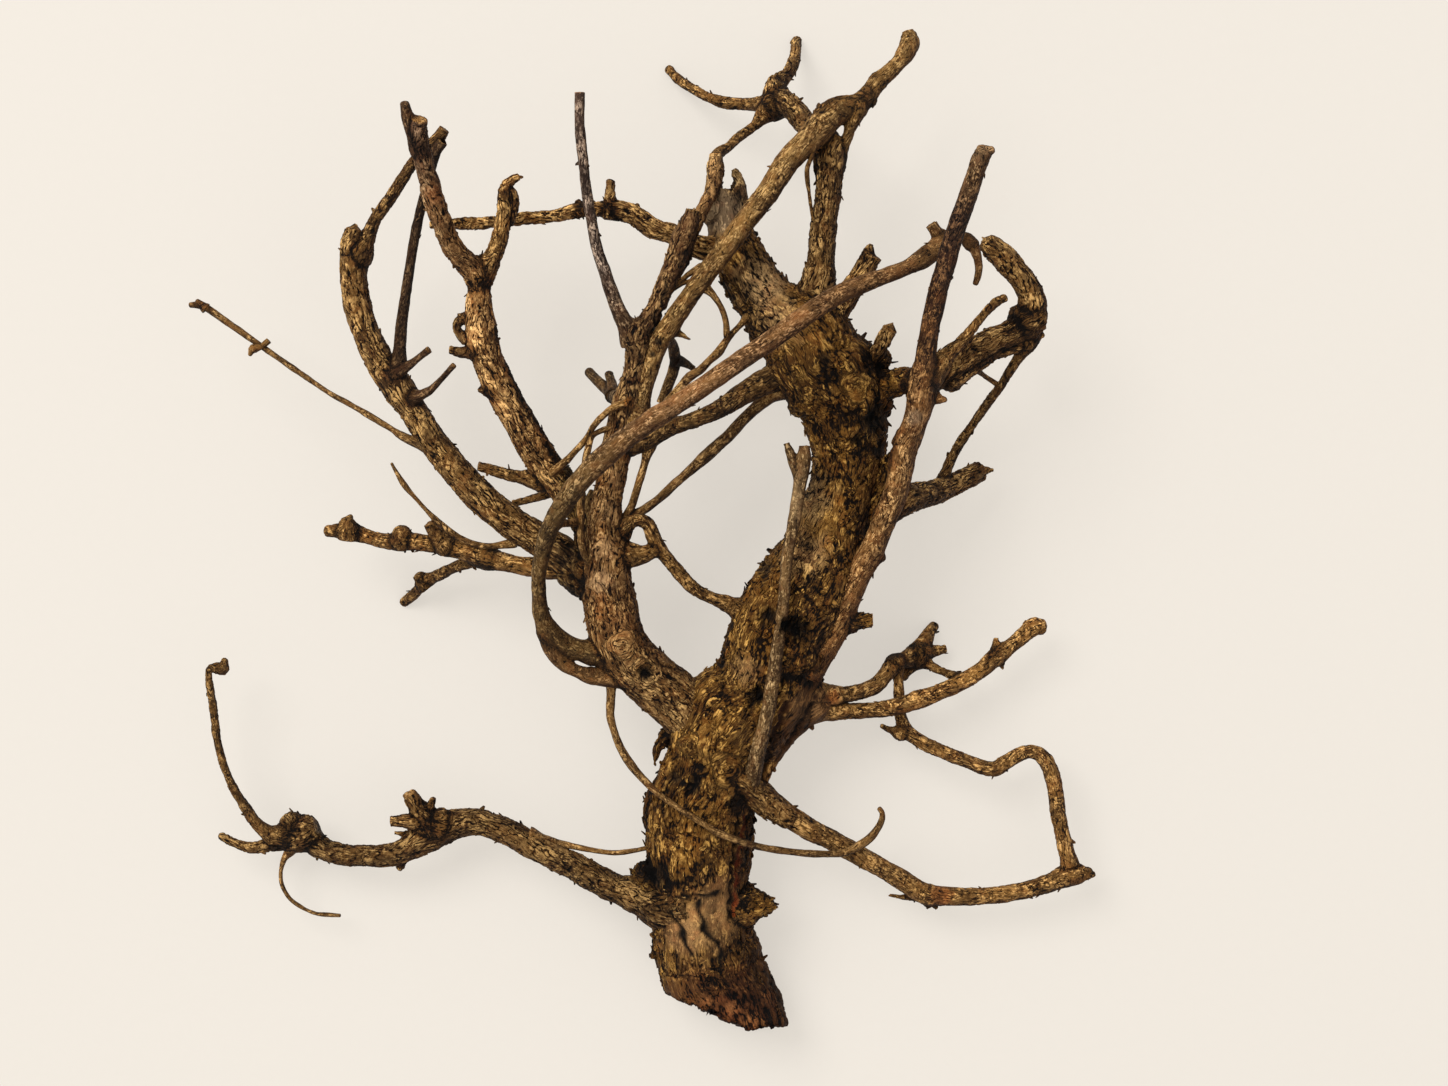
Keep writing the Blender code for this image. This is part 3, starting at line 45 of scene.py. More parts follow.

# %% [markdown]
# ## The limbs as a table
# A branch is hard to model as one surface, but easy to describe as lines. Each limb is a
# run of stations from its root to its tip: how far east and north it was seen from straight
# above, how high it lies, and how thick it is there, all in millimetres. A line with `==` names
# the piece that the limbs below it belong to. A limb's own line has its name, its kind of
# bark, and how its tip ends: cut, round, point or broken.

# %% Limb table
TABLE = """
== trunk  trunk, its swellings and torn ridge
trunk thick cut
 4 -194 16.2 19, 4.2 -181 16.2 19.6, 0.7 -173 16.2 20, -2.4 -166 16.4 19.5, -4.8 -161 17 19.9,
 -6.2 -155.4 18 19.8, -8 -149.5 19.7 19.3, -8.6 -141 21.5 18.9, -9.5 -131 23.5 18.8,
 -10 -121 25.5 20, -9.5 -110 27 20.5, -9 -100 28.5 20.3, -6 -90 30 19.3, -3.5 -82 31 18.7,
 -1.5 -74 32 20.3, 4 -66 33.5 21.5, 12.5 -57 35 19.5, 16.7 -48 37 19.2, 19.5 -40 38.5 20,
 23.6 -30 40 20.2, 29.2 -20 41.5 20.2, 34.8 -10 43 18.3, 39.2 0 44.5 15.8, 41.2 10 46 14.4,
 44.5 20 47.5 12.8, 46.5 30 49 13.2, 47 38 50 14.7, 46.5 46 51.5 16.5, 45.3 54 52.5 18.4,
 41 62 53.5 20.3, 35 69.7 54.5 18, 29.3 79.5 55 17.8, 20.5 87 54.5 13.6, 14 94.2 54 11.2,
 9.8 100.6 53.5 10.6, 6 108 53 9.9, 3 114.7 52 9, 1.5 121.5 51 7.9, 0.4 128.5 50 7.4,
 0.2 134 49.8 6.4
split_right split broken
 3.6 124 50.5 4.6, 4.3 131 50 3.8, 4.9 136 49.5 3, 4.5 140 49 2, 3.5 142.3 49 0.9
split_left split broken
 -3 126 51 4.2, -3.6 134 50.5 3.5, -3.5 142.6 50 3.2, -3.3 148 50 2.3
low_swell thick round
 -16 -90 29 9, -22 -97 28 8, -22 -108 27 8.2, -18 -116 26 8
left_burl thick round
 -20 -130 25 9, -28 -126 27 7.5, -32 -123.5 28 5
right_spur thick point
 0 -136.5 25 12, 8.8 -136.5 25.5 9.3, 13.2 -136.5 26 5.8, 16.8 -137 26.5 3, 19.8 -137.5 27 0.8
left_spike thick point
 -19 -72 32 3, -25 -76.5 33 1.8, -26.7 -84 34 0.5
left_flap thick broken
 -22 -146 22 3, -26 -151 21 1.6, -26.8 -157 20.5 1.2
torn_ridge torn point
 32 -60 34 8, 27 -65 34 6.5, 21 -73 34 5, 16.5 -82 33 3.6, 13 -90 32 3
crotch_burl thick round
 12 -52 38 9, 6.5 -46 39 8.2, 6 -41 40 6.5
low_right_root ridged round
 -3 -80 39 5, 3 -87 40 6.5, 13 -96 36 5.5, 24 -104 31 4
far_collar torn round
 12 -66 34 12, 25 -59 34.5 11.5, 33 -55 35 8
crown_shoulder thick round
 46 66 54 8, 54 68.8 56 6.4, 59.6 70.2 57 5
crown_burl thick round
 46 52 52 12, 53 47.5 51 9.5, 56 46 50.5 6.5
crown_left_burl thick round
 22 80 55 9, 14 79 54 6.5, 11 78 53.5 3.6
== front  left half of the fork, the arc and the stick in front of it
front_stick stick broken
 10 -90 40 3.6, 12.6 -78 48 3.1, 16 -65 53 2.7, 18.4 -50 56.5 2.6, 19.8 -40 58.5 2.4,
 21.3 -30 60.5 2.3, 22.5 -20 62.5 2.2, 23.2 -10 64 2.2, 24.5 0 65.5 2.2, 26.5 10 67 2.4,
 28 20 69 2.5, 29.4 28 70.5 2.6, 30.1 33 71.2 2.6, 30.3 37.3 71.5 2.1
stick_prong stick cut
 27.8 27 70 2, 26 31 70 2, 24.7 35 70 1.7, 23.4 38.4 70 1.1
front_limb ridged broken
 0 -72 32 12.5, -10 -66 34 11.6, -20 -57.7 36.5 10.8, -29 -50 39.5 10.4, -37 -42 42.5 10.4,
 -41.5 -33 45.5 10.2, -43 -24 47.5 10.2, -44.3 -14 50 9.2, -45 -4 52 8.1, -45.3 6 53.5 6.6,
 -44.8 14 55 5.9, -43.5 22 56.5 5.6, -42 29 58 5.4, -41 36 59.5 5.8, -39 44 61 6,
 -37.3 52 62.5 5.8, -35 60 64 4.9, -33.2 68.5 65.5 4.6, -32.8 74 67 4.9, -32.7 79.5 68 6,
 -28.6 85 69 4.2, -25.8 90.5 70 3.6, -23.3 96 70.6 3.6, -20.9 101.5 71.2 3.9, -17.7 109.5 72 4.3,
 -15.9 116.5 72.5 4.1, -13.4 121.8 73 3.7, -12.1 126.8 73.5 2.6
frayed_strand fibrous broken
 -17.2 108.5 70 2.8, -12.8 117.5 68 2.7, -9.9 124 65 2.5, -6.9 129.7 60 2.3, -3.9 135.7 54.5 2.5,
 -3.4 141.5 51.5 3, -3.4 146.5 50.5 2.2
front_knob ridged round
 -42 4 52 4, -38 3.8 53 3.2, -36.3 3.5 53 2.2
front_arc smooth cut
 -40 -42.5 44 7, -48.3 -40.8 45.5 5, -55.3 -39.9 48 4.1, -60.8 -37.9 50 4.3, -66 -33.5 53.5 4.3,
 -69.3 -27 57 3.3, -70.4 -19.5 62 2.7, -70.4 -11 67.5 2.8, -69 -3.5 72 3.1, -66.8 4.5 77.5 3.4,
 -64.2 10 82 3.7, -61.2 15 86 3.9, -57.5 20.5 89.5 4.1, -53 26 92.5 4.2, -48 31 95 4.3,
 -42.5 36 97.5 4.3, -36 41.2 100 4.2, -28 46.8 102 4.1, -20 52 103.5 3.9, -12 57.2 104.5 3.8,
 -4 62.8 105 3.8, 4 68.3 105 3.8, 12 73.7 104.5 3.8, 20 79.2 103.5 3.9, 28 84.9 102 4,
 36 90.4 100 3.9, 44.3 95.2 97.5 3.7, 52.3 98.7 94.5 3.4, 60.3 101.5 91.5 3.1, 68.3 104.6 88.5 3,
 75.2 108.2 86 3.5, 80 112 84 3.8, 85 116 82 3.4
arc_root_strand smooth round
 -40 -49.5 42 5, -49.8 -50.2 44.5 3.2, -55.8 -48.4 46.5 2.3, -61 -45.2 49 3, -65.4 -40 51.5 3.2,
 -68.3 -33 54.5 2.6
arc_stub smooth cut
 82.5 113.5 82 2.6, 80.2 118.2 83 2.3, 78.3 121.3 84 2.4
arc_knuckle smooth round
 74 108 86 2.4, 76.3 111.3 86 1.6
hanging_twig smooth round
 84 115.5 82 2.8, 89.5 116.8 81 1.7, 92.7 115.4 80 2, 94.8 111.5 79.5 1.9, 96.2 106.5 79 1.6,
 96 102 78.5 1.4, 95 98.8 78 1.1
hanging_nub smooth point
 93 114.5 80 1.8, 95.5 114.2 80 0.8
dark_root thick round
 -46 -14 48 8, -52.5 -8 42 6.6, -53 1 42 3.4, -55 10 43 4.4, -58.5 19 44 5.6, -63 25 45.5 6
dark_web ridged point
 -49 -10 44 6, -51 0 45 4, -51.8 8 46.5 3, -51.6 15 48 2.2, -50.5 20 49 1
dark_lobe ridged round
 -48 -16 46 7, -54.5 -14 42 6, -60 -11.5 40 4.6
cross_limb ringed cut
 30 66 52 8, 22 64 53 6.4, 15 61.5 54.5 5, 10 58.8 55.5 4.5, 5 55.8 56.5 4.1, 0 52.3 57.5 3.6,
 -5 49.9 58 3.4, -10 47.9 58.5 3.2, -15 46.1 59 3.2, -20 44.6 59.5 3.5, -25 42.3 60 3.8,
 -30 39.5 60 4.2, -37 37.5 59.5 4.4
hook_twig_left ringed cut
 -40 6.5 52.5 3.4, -34 9.2 52 2.3, -29.3 8 51.5 2.6, -27.4 3.6 51 2.8, -25 -1 50 2.7,
 -21.6 -5.6 49 2.5, -17.6 -10.6 48 2.6, -13.5 -15 47 2.6, -9 -18.4 46 2.4, -4 -20.6 45 2.4,
 1 -22.5 43.5 3.2, 7 -25 41.5 5, 15 -27 40.5 7
hook_root_left ringed cut
 -41 -4.5 51 4.4, -34.5 -4 51 3.7, -30.5 -3.8 51 3.2, -26 -1.5 50.5 2.7
== crown  limbs of the crown
long_branch freckled cut
 -34 46 61 4.6, -32 55 63.5 3.6, -29.8 62 65.5 3.4, -27.2 70 67.5 3.5, -24 78 69 3.9,
 -18.8 86 70 3.8, -11.8 96 71.5 3.7, -7.5 102 72 3.8, -2.5 108.5 73 4, 4.8 118.5 73.5 4.2,
 9.8 125.1 73.5 4.2, 16.4 133.5 72.8 4.3, 23.2 144.2 71 4.6, 31.2 152.6 69.5 5, 36.8 158.7 68 5.3,
 41.6 163.5 66.5 5.1, 47.6 165.8 65 4, 52 168 64 3.4, 54.8 170.7 63 3.2, 57.6 175.1 62 3.1,
 62.1 178.8 61 3, 66.2 182.9 59.5 3, 69 187 58.5 3.5, 70.1 190.1 57.5 3.8, 69.8 192.9 57 3.2,
 69.4 194.6 57 2.2
branch_thorn freckled point
 -20.4 80.9 68.6 1.5, -16.5 79.5 68 0.9, -13.2 77.6 68 0.4
lifted_bark freckled cut
 36.5 163.5 68 1.8, 40.5 167.2 68 1.4, 46 168.7 67 1.3, 52.8 168.4 66 1.1
branch_lip freckled round
 54 170 63 2.4, 56.3 168 63 1.8, 57.2 168 63 1
branch_spur freckled point
 58.5 174.5 62 1.6, 56.5 177.8 63 0.7
branch_link freckled round
 50 165 64.5 2.8, 48.5 160.6 64 2.5, 46.8 155.1 63 1.9, 45.3 149.5 62 1.6, 43.2 142 61 2.2
upright_stub ridged cut
 33 86 52 10, 34.5 94 53.5 8.6, 35.6 101 55 6.6, 36.4 107.5 55.8 5.2, 37.1 116.9 57 5,
 38.2 126 58.5 4.8, 39.4 135 60 4.9, 40.3 144.2 61 5.2, 40.9 151.5 62 4.6, 42.2 154.5 62 2.9
stub_flange ridged round
 38 150 60.5 2.4, 35.8 146 60 1.8, 35.8 141 60 1.7, 38 137 60 1.8
cut_stub ridged cut
 38 84 55 8, 44.5 91.5 57.5 5, 48.5 97.5 59.5 4.2, 51.9 102.6 61.5 4, 56 109.6 63.5 3.7
cut_stub_tip ridged round
 54.5 109.5 63 1.8, 55.2 113.2 64 1.2
small_stub ridged broken
 52 66 58 5, 56.4 70.8 60 3.2, 59.2 75 62 2.9, 61.2 79 63.5 2.9, 62.8 81.9 64.3 2.8
far_limb ridged cut
 38 152 60 4, 33.5 156 54 4.4, 30.3 160 46 4.4, 24 166.9 38 4.3, 20.1 169 32 4.2,
 19.6 172.5 28 3.5, 20.8 175.3 25 3.1, 24 178.3 21 2.6, 26.2 182.9 15 2.3, 27.1 187.9 7.5 2.1,
 27.3 190.9 1.3 1.9
far_knuckle ridged round
 19.5 170 31 3.4, 18.7 174.5 28 2.7, 18.6 176.6 27 1.8
far_twig ringed round
 20 166.5 33 3.6, 13 166.9 28 2.7, 7.5 166.9 23 2.4, 0.3 167.4 19 2.3, -6.9 169.7 15.5 1.9,
 -12.4 172.8 11 1.8, -18 176.5 5.6 1.8, -21 179.9 1 1.7
stump_twig ringed round
 18 165 32 3.2, 14.8 162.8 32 2.6, 11.2 158.7 33 1.9, 5.8 154.6 36 1.8, 1.2 150.5 41 1.8,
 -2.8 147.8 46 2.3, -3.4 146 48.5 2.6
top_left_twig ridged cut
 8 112 53 5, -2 112.5 54 4.6, -9 112.5 55 4.4, -15 115 56 4, -20 117.5 56.5 3.8,
 -27.2 119.7 57 3.7, -34.5 124.7 57 3.8, -40 126.5 57 3.8, -45.4 127 56.5 2.9, -50 127 56 2.5,
 -56.3 126.5 55.5 3, -65.4 124.3 55 2.4, -75.5 123.4 54 2.4, -91 121.9 53 2.3,
 -98.2 121.7 52.5 2.4, -105 121.5 52 2, -111.8 121.1 51.5 1.2
top_left_nub ridged round
 -43 126 56.5 2.6, -43.4 132 57 1.8, -43.4 137.4 57.5 1.6
top_left_bump ridged point
 -54.5 127 55.5 2.2, -55.6 130.3 56 0.8
dark_shoot dark cut
 -34 77 66 4, -35.9 81.5 68 3.8, -38.4 85.1 69.5 3, -42.4 94.2 70.5 2.6, -45.4 103.3 71.3 2.3,
 -48.4 112 72 2.2, -50.2 121.5 73 2.1, -51.8 130.5 74 2, -53 139.7 75 1.95, -54.9 157.9 76 2,
 -54.9 171.2 76.5 2
== right  right-hand shoot, stubs and the low limbs
right_shoot mottled cut
 30 -48 42 7.5, 38 -36 45 6.6, 43.5 -27 47.5 5.8, 47.5 -18 50 5.2, 52 -9 53 4.9, 56.8 0 56 4.6,
 61 10 59.5 4.4, 65 20 63 4.6, 67.2 30 66.5 4.5, 69.2 38 69.5 4.7, 72 46 72.5 4.8, 73.8 52 75 5.2,
 74.8 61 78 5.2, 76 70 81.5 3.9, 77.5 80 85.5 3.6, 79.5 90 90 3.7, 82 100 95 3.7, 84.3 108 99 3.7,
 86.4 115.5 103 3.7, 88.3 121 106.5 3.6, 91.5 130 111.5 3.6, 94.6 139 117 3.4, 96.6 145 121 3.5,
 98.6 149.8 124.5 2.9
shoot_web thick round
 50 0 42 5.1, 57 14 48 4.25, 60.5 25 53 3.4, 62 32 56 2.55, 62.5 35 60 1.7
shoot_lobe mottled round
 66 30 65 4, 66.6 38 68 3.4, 67.3 42.3 70 2.2
shoot_lip mottled round
 98 148 123 2.4, 101.6 149.8 124.5 1.2
shoot_bridge thick cut
 50 60 53 9, 58 60.6 55.5 7.2, 64.5 61.2 60.5 5.6, 70 61.9 68 5, 75 62 76 4.8
shoot_nub mottled round
 56 -5.5 54 2.2, 60.4 -5 55 1
shoot_spur mottled round
 78 56.5 75 2.6, 81.5 55 75 1.4, 83.8 54.8 75 0.9
side_stub thick cut
 42 -28.5 46 5.5, 48 -29.4 46.5 4.2, 53.2 -29 46.5 3.1, 56 -28.9 46.5 2.6
low_stub ridged cut
 61 11 58 4.5, 67 16 53 5.6, 72.5 18 46 5.4, 78 19.3 39 4.7, 84 21.5 31 4.3, 90 24.4 25 4.2,
 96.6 27.8 19.5 3.8
low_stub_tip ridged point
 96 28 20 1.8, 101.6 28 19 0.6
hook_limb ridged round
 72.8 60.5 74 5.5, 80 64 71 5.4, 87 68 67.5 5.2, 93.8 72.6 63.5 5.2, 101 77 60.5 4.9,
 107.5 80 58 5.1, 113.3 84 56.5 5.6, 116.4 89.9 56 5.5, 115.5 95.4 56 5, 112.1 101.3 56.5 4.7,
 109 105 57 4.8, 105.5 108.8 57.5 4.8, 101.8 112 58 4.4, 99.6 113.8 58 3.9
hook_knot ridged round
 114 84 56 4.8, 118.6 86.5 55.5 4.2, 120.3 87.2 55 2.8
hook_strand ridged point
 86 62 69 3, 95 67.6 63.5 2.8, 103 72.6 59.5 2.6, 110 75 56.5 2.7, 115 76.4 55 2.5,
 120.3 79.3 54 1.2
hook_twig ringed round
 77 63.5 77 4, 81.8 68.8 76.5 3.8, 85.5 72.8 76.5 3.1, 89.2 76.3 77 2.5, 93.8 81.7 77.5 2,
 98.3 87.2 78 1.8, 102.9 91.7 78 1.9, 106.2 93.4 78 1.6
drooping_twig ringed round
 114.5 76 55 2.4, 110 68.5 51.5 1.8, 103.8 59 46 1.8, 97.9 51.2 40 1.8, 92.8 43.5 36 1.8,
 88.2 36.7 33.5 1.9, 84.5 29 31.5 2, 82.2 23 31 2.2
right_low_limb ringed round
 24 -61 34.5 8.5, 33 -62 33 6.4, 40 -63 30.5 3.8, 48 -63.3 28 3.1, 56 -62.9 26 2.9,
 63 -61.8 24.2 3.2, 69 -60.4 22.8 3.3, 73.5 -58.8 22 3.6, 78.5 -57.2 21.3 3.1, 87 -53.6 20.5 3.1,
 92 -51 20 3.2, 97 -47.8 20 3.1, 101 -44.3 20 3.2, 104.5 -41.5 20 3.3, 109 -38 20 2.9,
 113.5 -34.2 20 3.1, 117.5 -31.3 20 3.6, 120.3 -31.3 20 3
low_limb_nub ringed cut
 103 -41 20 1.6, 102.8 -35.4 20 0.9
low_limb_thorn ringed point
 104 -43 19.5 1.4, 105.3 -47 19 0.5
right_upper_limb ringed round
 24 -57 35.5 8, 33 -56.6 35 5.6, 40 -56.8 33.5 3.8, 46 -56.8 31.5 2.9, 52 -55.7 29 3,
 57 -53.6 26.3 3.1, 60.4 -50.2 23.6 3, 63 -46.6 20.5 3, 66 -44.6 17.5 2.8, 70 -43 13.5 3.4,
 73.5 -41.2 10.5 3.8, 75.6 -37 7.2 3, 77.6 -33.4 4 2.3, 79.4 -30.9 1.2 1.9
fork_stub ringed cut
 74.5 -41.3 10 2.6, 79.5 -40.6 7.5 1.9, 83.6 -39.7 6 1.7
fork_tail ringed round
 72.5 -42.8 11 3, 69.3 -47 11 2.2, 67.8 -50.6 12 1.6
fork_link ringed cut
 73 -43 10.5 2.2, 78 -46 12.5 1.6, 83 -48.4 15 1.5, 89.5 -51 18.5 1.9
right_loop ringed cut
 64.5 -44.5 19.5 2.4, 65.7 -50 18 2, 66 -56 17 2, 66.2 -62 16.6 2.1, 67 -66.5 17 2.4,
 69 -70.7 17.5 2.7, 73.5 -74.2 18 2.7, 79 -77 18.5 2.7, 86 -80 19 2.7, 94 -83 19.5 2.7,
 99 -84.8 20 2.9, 102.8 -85 20 3, 107 -82.4 20 2.8, 111 -79.9 20 2.7, 115.5 -78.6 20 2.6,
 119.6 -79.9 20 2.8, 122.7 -83.6 20 2.9, 124.5 -89 20 3, 125.5 -95 20 2.9, 126.2 -101 20 3,
 127.6 -108 20 3, 129.2 -115 20 3, 131 -122 20 3.3
loop_nub ringed round
 66.5 -71.5 18 2, 62.5 -70.2 18 1.1, 59.4 -68.7 18 0.9
low_right_limb ringed point
 4 -89 32 8, 12 -94 31.5 5.8, 18 -98.5 30 4.9, 25 -103.5 28 4.4, 32 -107.8 26 4.2,
 40 -111.8 24.5 4, 47 -115.6 23.3 3.8, 54 -119.6 22.2 3.8, 60 -123 21.2 3.7, 66 -126.6 20.3 3.9,
 72 -130.4 19.4 3.8, 77 -132.6 18.8 3.9, 84 -133.4 18.3 3.5, 92 -133.7 18 3.4, 100 -133.2 18 3.2,
 108 -132.2 18 3.2, 116 -130.5 18 3.3, 123 -128.4 18.5 3.6, 129 -126 19 4.1, 134 -125 19 3.8,
 138 -124.9 19 2.4, 139.9 -125.2 19 1.3
splinter_long ringed point
 77 -133 17.5 1.8, 70 -133.8 17 1, 62.3 -133 17 0.5
splinter_down ringed point
 76.5 -133.5 17 1.6, 77 -138 16.5 0.5
splinter_side ringed point
 77.5 -133.5 17 1.6, 80.3 -138 16.5 0.6
== left  left-hand limbs
upper_limb ridged cut
 -57 17 44 5.8, -62 22.5 45 6, -67 28.5 46.5 6, -71.3 34.5 48.5 6, -75.2 41.5 50.5 6,
 -79 48.5 52.5 5.9, -82.6 54.5 54 5.8, -86 61 55.5 5.8, -88.8 67.5 57 5.6, -91 74 58.5 5.8,
 -92.5 82 60 5.7, -93.2 90 61 5.1, -93 97 62 4.3, -94.2 102 64 4.8, -98 106.5 67.5 4.5,
 -102 111 72 4, -105 116 76.5 3.9, -107 121.5 81 3.9, -108.7 126 84.5 3.9, -110.4 131 88 4.1,
 -111.5 136 91.5 3.9, -113 141.5 95.5 3.5, -114.5 147 99.5 3.6, -115.6 153 103.5 3.3,
 -116.2 158 107 3.4, -115.6 161.2 109 2.9
upper_second_tip dark round
 -116 150 101 2.4, -118.6 157 106 2.3, -120.3 162 109 2.3, -121.3 167 112 1.9
upper_strand ridged point
 -60 24.5 46 3, -66 33 48 3, -71.2 41.5 50 2.8, -76.4 50.5 52.5 2.6, -80.7 59 55 2.2,
 -84.2 67.5 57 1.6
upper_fork ridged broken
 -93 99 62.5 4.4, -90.5 104.5 63.5 4.2, -87.6 109.5 64.5 3.5, -85.6 115 65.5 3.1, -84.2 121 66.5 3,
 -83.2 127 67.5 3, -83.3 132 68 2.7, -82.8 136 69 2.1, -80.5 138.2 69.5 1.8, -78.2 139.4 70 1.3
fork_lobe ridged round
 -82 133 67.5 1.8, -80 130.5 67.5 1.7, -79.6 126 67.5 1.4, -81.5 122 66.5 1.5
fork_nub ridged round
 -92.5 105 64 2, -93 109.4 65 0.9
bark_hook_high ridged round
 -96 86 60 2, -100.3 84.8 60 1.7, -101.5 81.5 60 1.6, -98 77.5 60 1.8
bark_hook_low ridged cut
 -93 73 58.5 3, -99 72.8 58.5 1.7, -104.3 73.7 58.5 1.4
left_knob ridged round
 -88 66.5 56.5 4, -92.8 66.8 56 2.6
low_knob ridged round
 -88 58.3 55.5 2.6, -93 58.5 55.5 1
right_lump ridged round
 -90 80 60 3.4, -87.2 80 60 2.2
orange_stub ringed cut
 -69.5 24.5 44 3.2, -78.5 25.8 44.5 2.3, -85.2 27.3 45.5 2.3, -90.2 28.9 46.5 1.9,
 -93.4 29.8 47.5 1.7
back_twig ringed cut
 -60 20.8 42 3, -65.2 19.6 37 1.7, -72 17.6 32.5 1.6, -79.9 15.4 27.5 1.5
left_limb ridged broken
 -46 -14 46 8, -54 -9 40 7.2, -62 -3.5 40 6.7, -70.7 2.1 40.5 6.3, -78.2 6.4 41 6.1, -85 11.5 42 6,
 -91.1 16.6 43 5.9, -97.1 22.6 44 5.8, -102.7 29.2 45 5.6, -108.2 36.1 46 5.5, -113.9 43.8 47 5.2,
 -118.7 51.5 48 5.2, -123.3 58.5 49 6, -127.3 64.5 50 5.9, -131.6 71 50.5 5.5, -136 80.5 51.5 5.1,
 -139.2 90.5 52.5 5.1, -140.6 100.5 53.5 5.2, -140.6 108.5 54.5 5.2, -140.6 114.5 55 4.8,
 -139.8 119.3 55.5 3.6
upright_twig ringed cut
 -138.3 109.5 55 3.4, -135 116.5 56.5 2.6, -132.2 123.4 58 2.3, -126 132.4 60.5 2.3,
 -118.8 143.4 63.5 2.3, -113 149.7 65.5 2.3, -108.2 154.8 67.5 2.3, -106.2 157.4 68.5 2.2
second_upright dark broken
 -126.5 62.5 51 4, -123.6 69 53 3, -123.1 76 54 2.4, -122.3 85 56 2.2, -121 94.2 58 2.1,
 -118.1 112.4 61 1.9, -116.5 121.5 63 1.9, -113.6 133 65.5 1.8, -109.2 148.8 68.5 1.8,
 -106.9 152.5 69.5 1.8
red_spur dark cut
 -126 64 53 2.6, -120.3 67.3 55 1.7, -115.6 71 57 1.4, -112 73.8 59 1.5
bud_spur dark cut
 -118 55.5 51 3, -113.8 57.3 53.5 1.8, -110.8 59.2 55 1.5, -107 63 57 1.2, -102.6 68 59.5 1.1
low_left_limb ringed round
 -52 -12 42 6, -60 -9 38 4.8, -66 -9 37 4.2, -73 -8.6 36 3.7, -80 -7.5 35.5 3.4, -87 -6 35 3.6,
 -94 -3.9 34 3.9, -100 -1.9 33 3.8, -106 -0.5 32 3.6, -112 0.1 31.5 3.2, -118 1 31 3.2,
 -124 1 30.5 3, -130 1.5 30 2.9, -136 3.1 30 2.8, -141 4.8 30 3, -146 5.1 30 2.6, -150.6 4.9 30 2.2
low_left_bump ringed round
 -122.5 2 31 3, -122.3 5.4 32 2.4
leaf_bump ringed point
 -142.5 5 30.5 3.2, -142.6 8.5 31.5 2.3, -141.7 11 32 0.8
low_left_stub ringed cut
 -106 0 33 3, -109.6 4.5 34.5 2.4, -112 8 36 2.1
touch_twig ringed round
 -89 -5.5 33.5 3, -96 -6.6 29 2.3, -103 -9 23 2.1, -109 -12 17 2.2, -114 -14.6 12 2.4,
 -116.8 -18 7 2, -121.6 -22 1 1.8
touch_knob ringed round
 -113.5 -14.6 12.5 2.4, -116 -12 13 1.6
== low  low left limb
left_low ridged round
 -14 -135.5 27 13, -24 -135.5 26.5 10.3, -33 -133 26 7, -41 -130.5 25.5 5.5, -46.5 -128 25 5.3,
 -52 -125 24.5 5.5, -57 -122 24 5.2, -62 -119.6 23.5 4.9, -67.5 -117 23 4.9, -73 -114.2 22.5 5.1,
 -78 -111.2 22 5.1, -83 -108.6 21.5 4.9, -88 -106.7 21 4.7, -94 -105.2 21 5.1, -100 -105.7 21 5.3,
 -105.5 -107.3 20.5 5.8, -111 -109.7 20 6.2, -116 -112.6 20 5.8, -121.5 -116 19.5 4.5,
 -128 -117.8 19 4.2, -136 -118 18.5 4.1, -144 -117.8 18 4.1, -150 -116.2 18 4.1,
 -155 -113.6 18 4.3, -159.3 -110 18 4.8, -163 -106.6 18 4.9, -165.5 -104.3 18 3.8
left_low_tail ridged round
 -159 -109.5 17.5 4.8, -165 -111.2 17 4.4, -170 -112.8 16.5 3.2, -175.5 -114.5 16 2.3,
 -181 -114.7 15.5 2, -186.3 -112.8 15 1.8, -190.8 -110.6 15 1.3
tall_twig ringed round
 -166 -110.2 17.5 3.6, -171 -110.2 18.3 2.8, -175 -108.1 19.3 2.4, -178.5 -104.5 20.2 2.1,
 -181.5 -99.9 21 1.95, -185 -94.5 22 1.7, -188.5 -87.2 23 1.5, -191 -79.9 23.8 1.5,
 -192.6 -72.6 24.6 1.6, -193.6 -63.5 25.5 1.6, -195 -54.4 26.5 1.5, -195.6 -49 27 1.4,
 -195 -46.9 27 1.4, -192.6 -46.8 27 2.3, -190.4 -47 27 2.5, -189.5 -43.8 27 1.2
saw_stub ridged cut
 -111.5 -106 22 4.2, -115.6 -101 25 3.1, -117.8 -97.5 27 2.9, -119.6 -94.3 28.5 2.6
pin_stub ridged cut
 -113 -102.5 24 1.6, -110.2 -96.2 26.5 0.9
split_stub ridged broken
 -109 -106 22.5 4, -115 -105 24.5 2.7, -121 -104.8 26 2.4, -126.6 -104.9 27 2
thin_stub ridged cut
 -114 -111 20 3, -119 -110 20 1.4, -125.2 -109.3 20 0.8
low_peg ridged round
 -122.5 -118 18.5 2, -123 -123 18 0.9
== twig  thin twigs that are swept, not fused
red_stem twig round
 36.5 158.5 72.5 0.8, 34.5 152 72 0.8, 32.5 146 70 1, 31.2 142 68 1, 32 133 64 0.75,
 33.4 124 60.5 0.75, 35 117 58 0.9
thin_link twig round
 -22 96 71 1.6, -17.5 99 71 1.2, -13.5 102.5 71.5 1, -9 105.5 72 1.2
thin_link_low twig round
 -20 97.5 71 1.3, -15 99.2 71 0.9, -10 100.5 72 1.2
arc_twig twig cut
 -67.5 4 77 2.2, -63 7.5 74 1.5, -59 8 66 1.5, -55 8.5 57 1.8
droop_link twig round
 90.5 68.5 64 1.4, 95 66.2 58 1, 99 63.5 51 1, 103.5 60.5 46 1.2
left_sprig twig round
 -112.2 38 46 2.6, -117 39 46.5 2, -121 40.4 46.5 1.6, -126.4 43.8 46 1.2, -133.7 48.2 46 1.2,
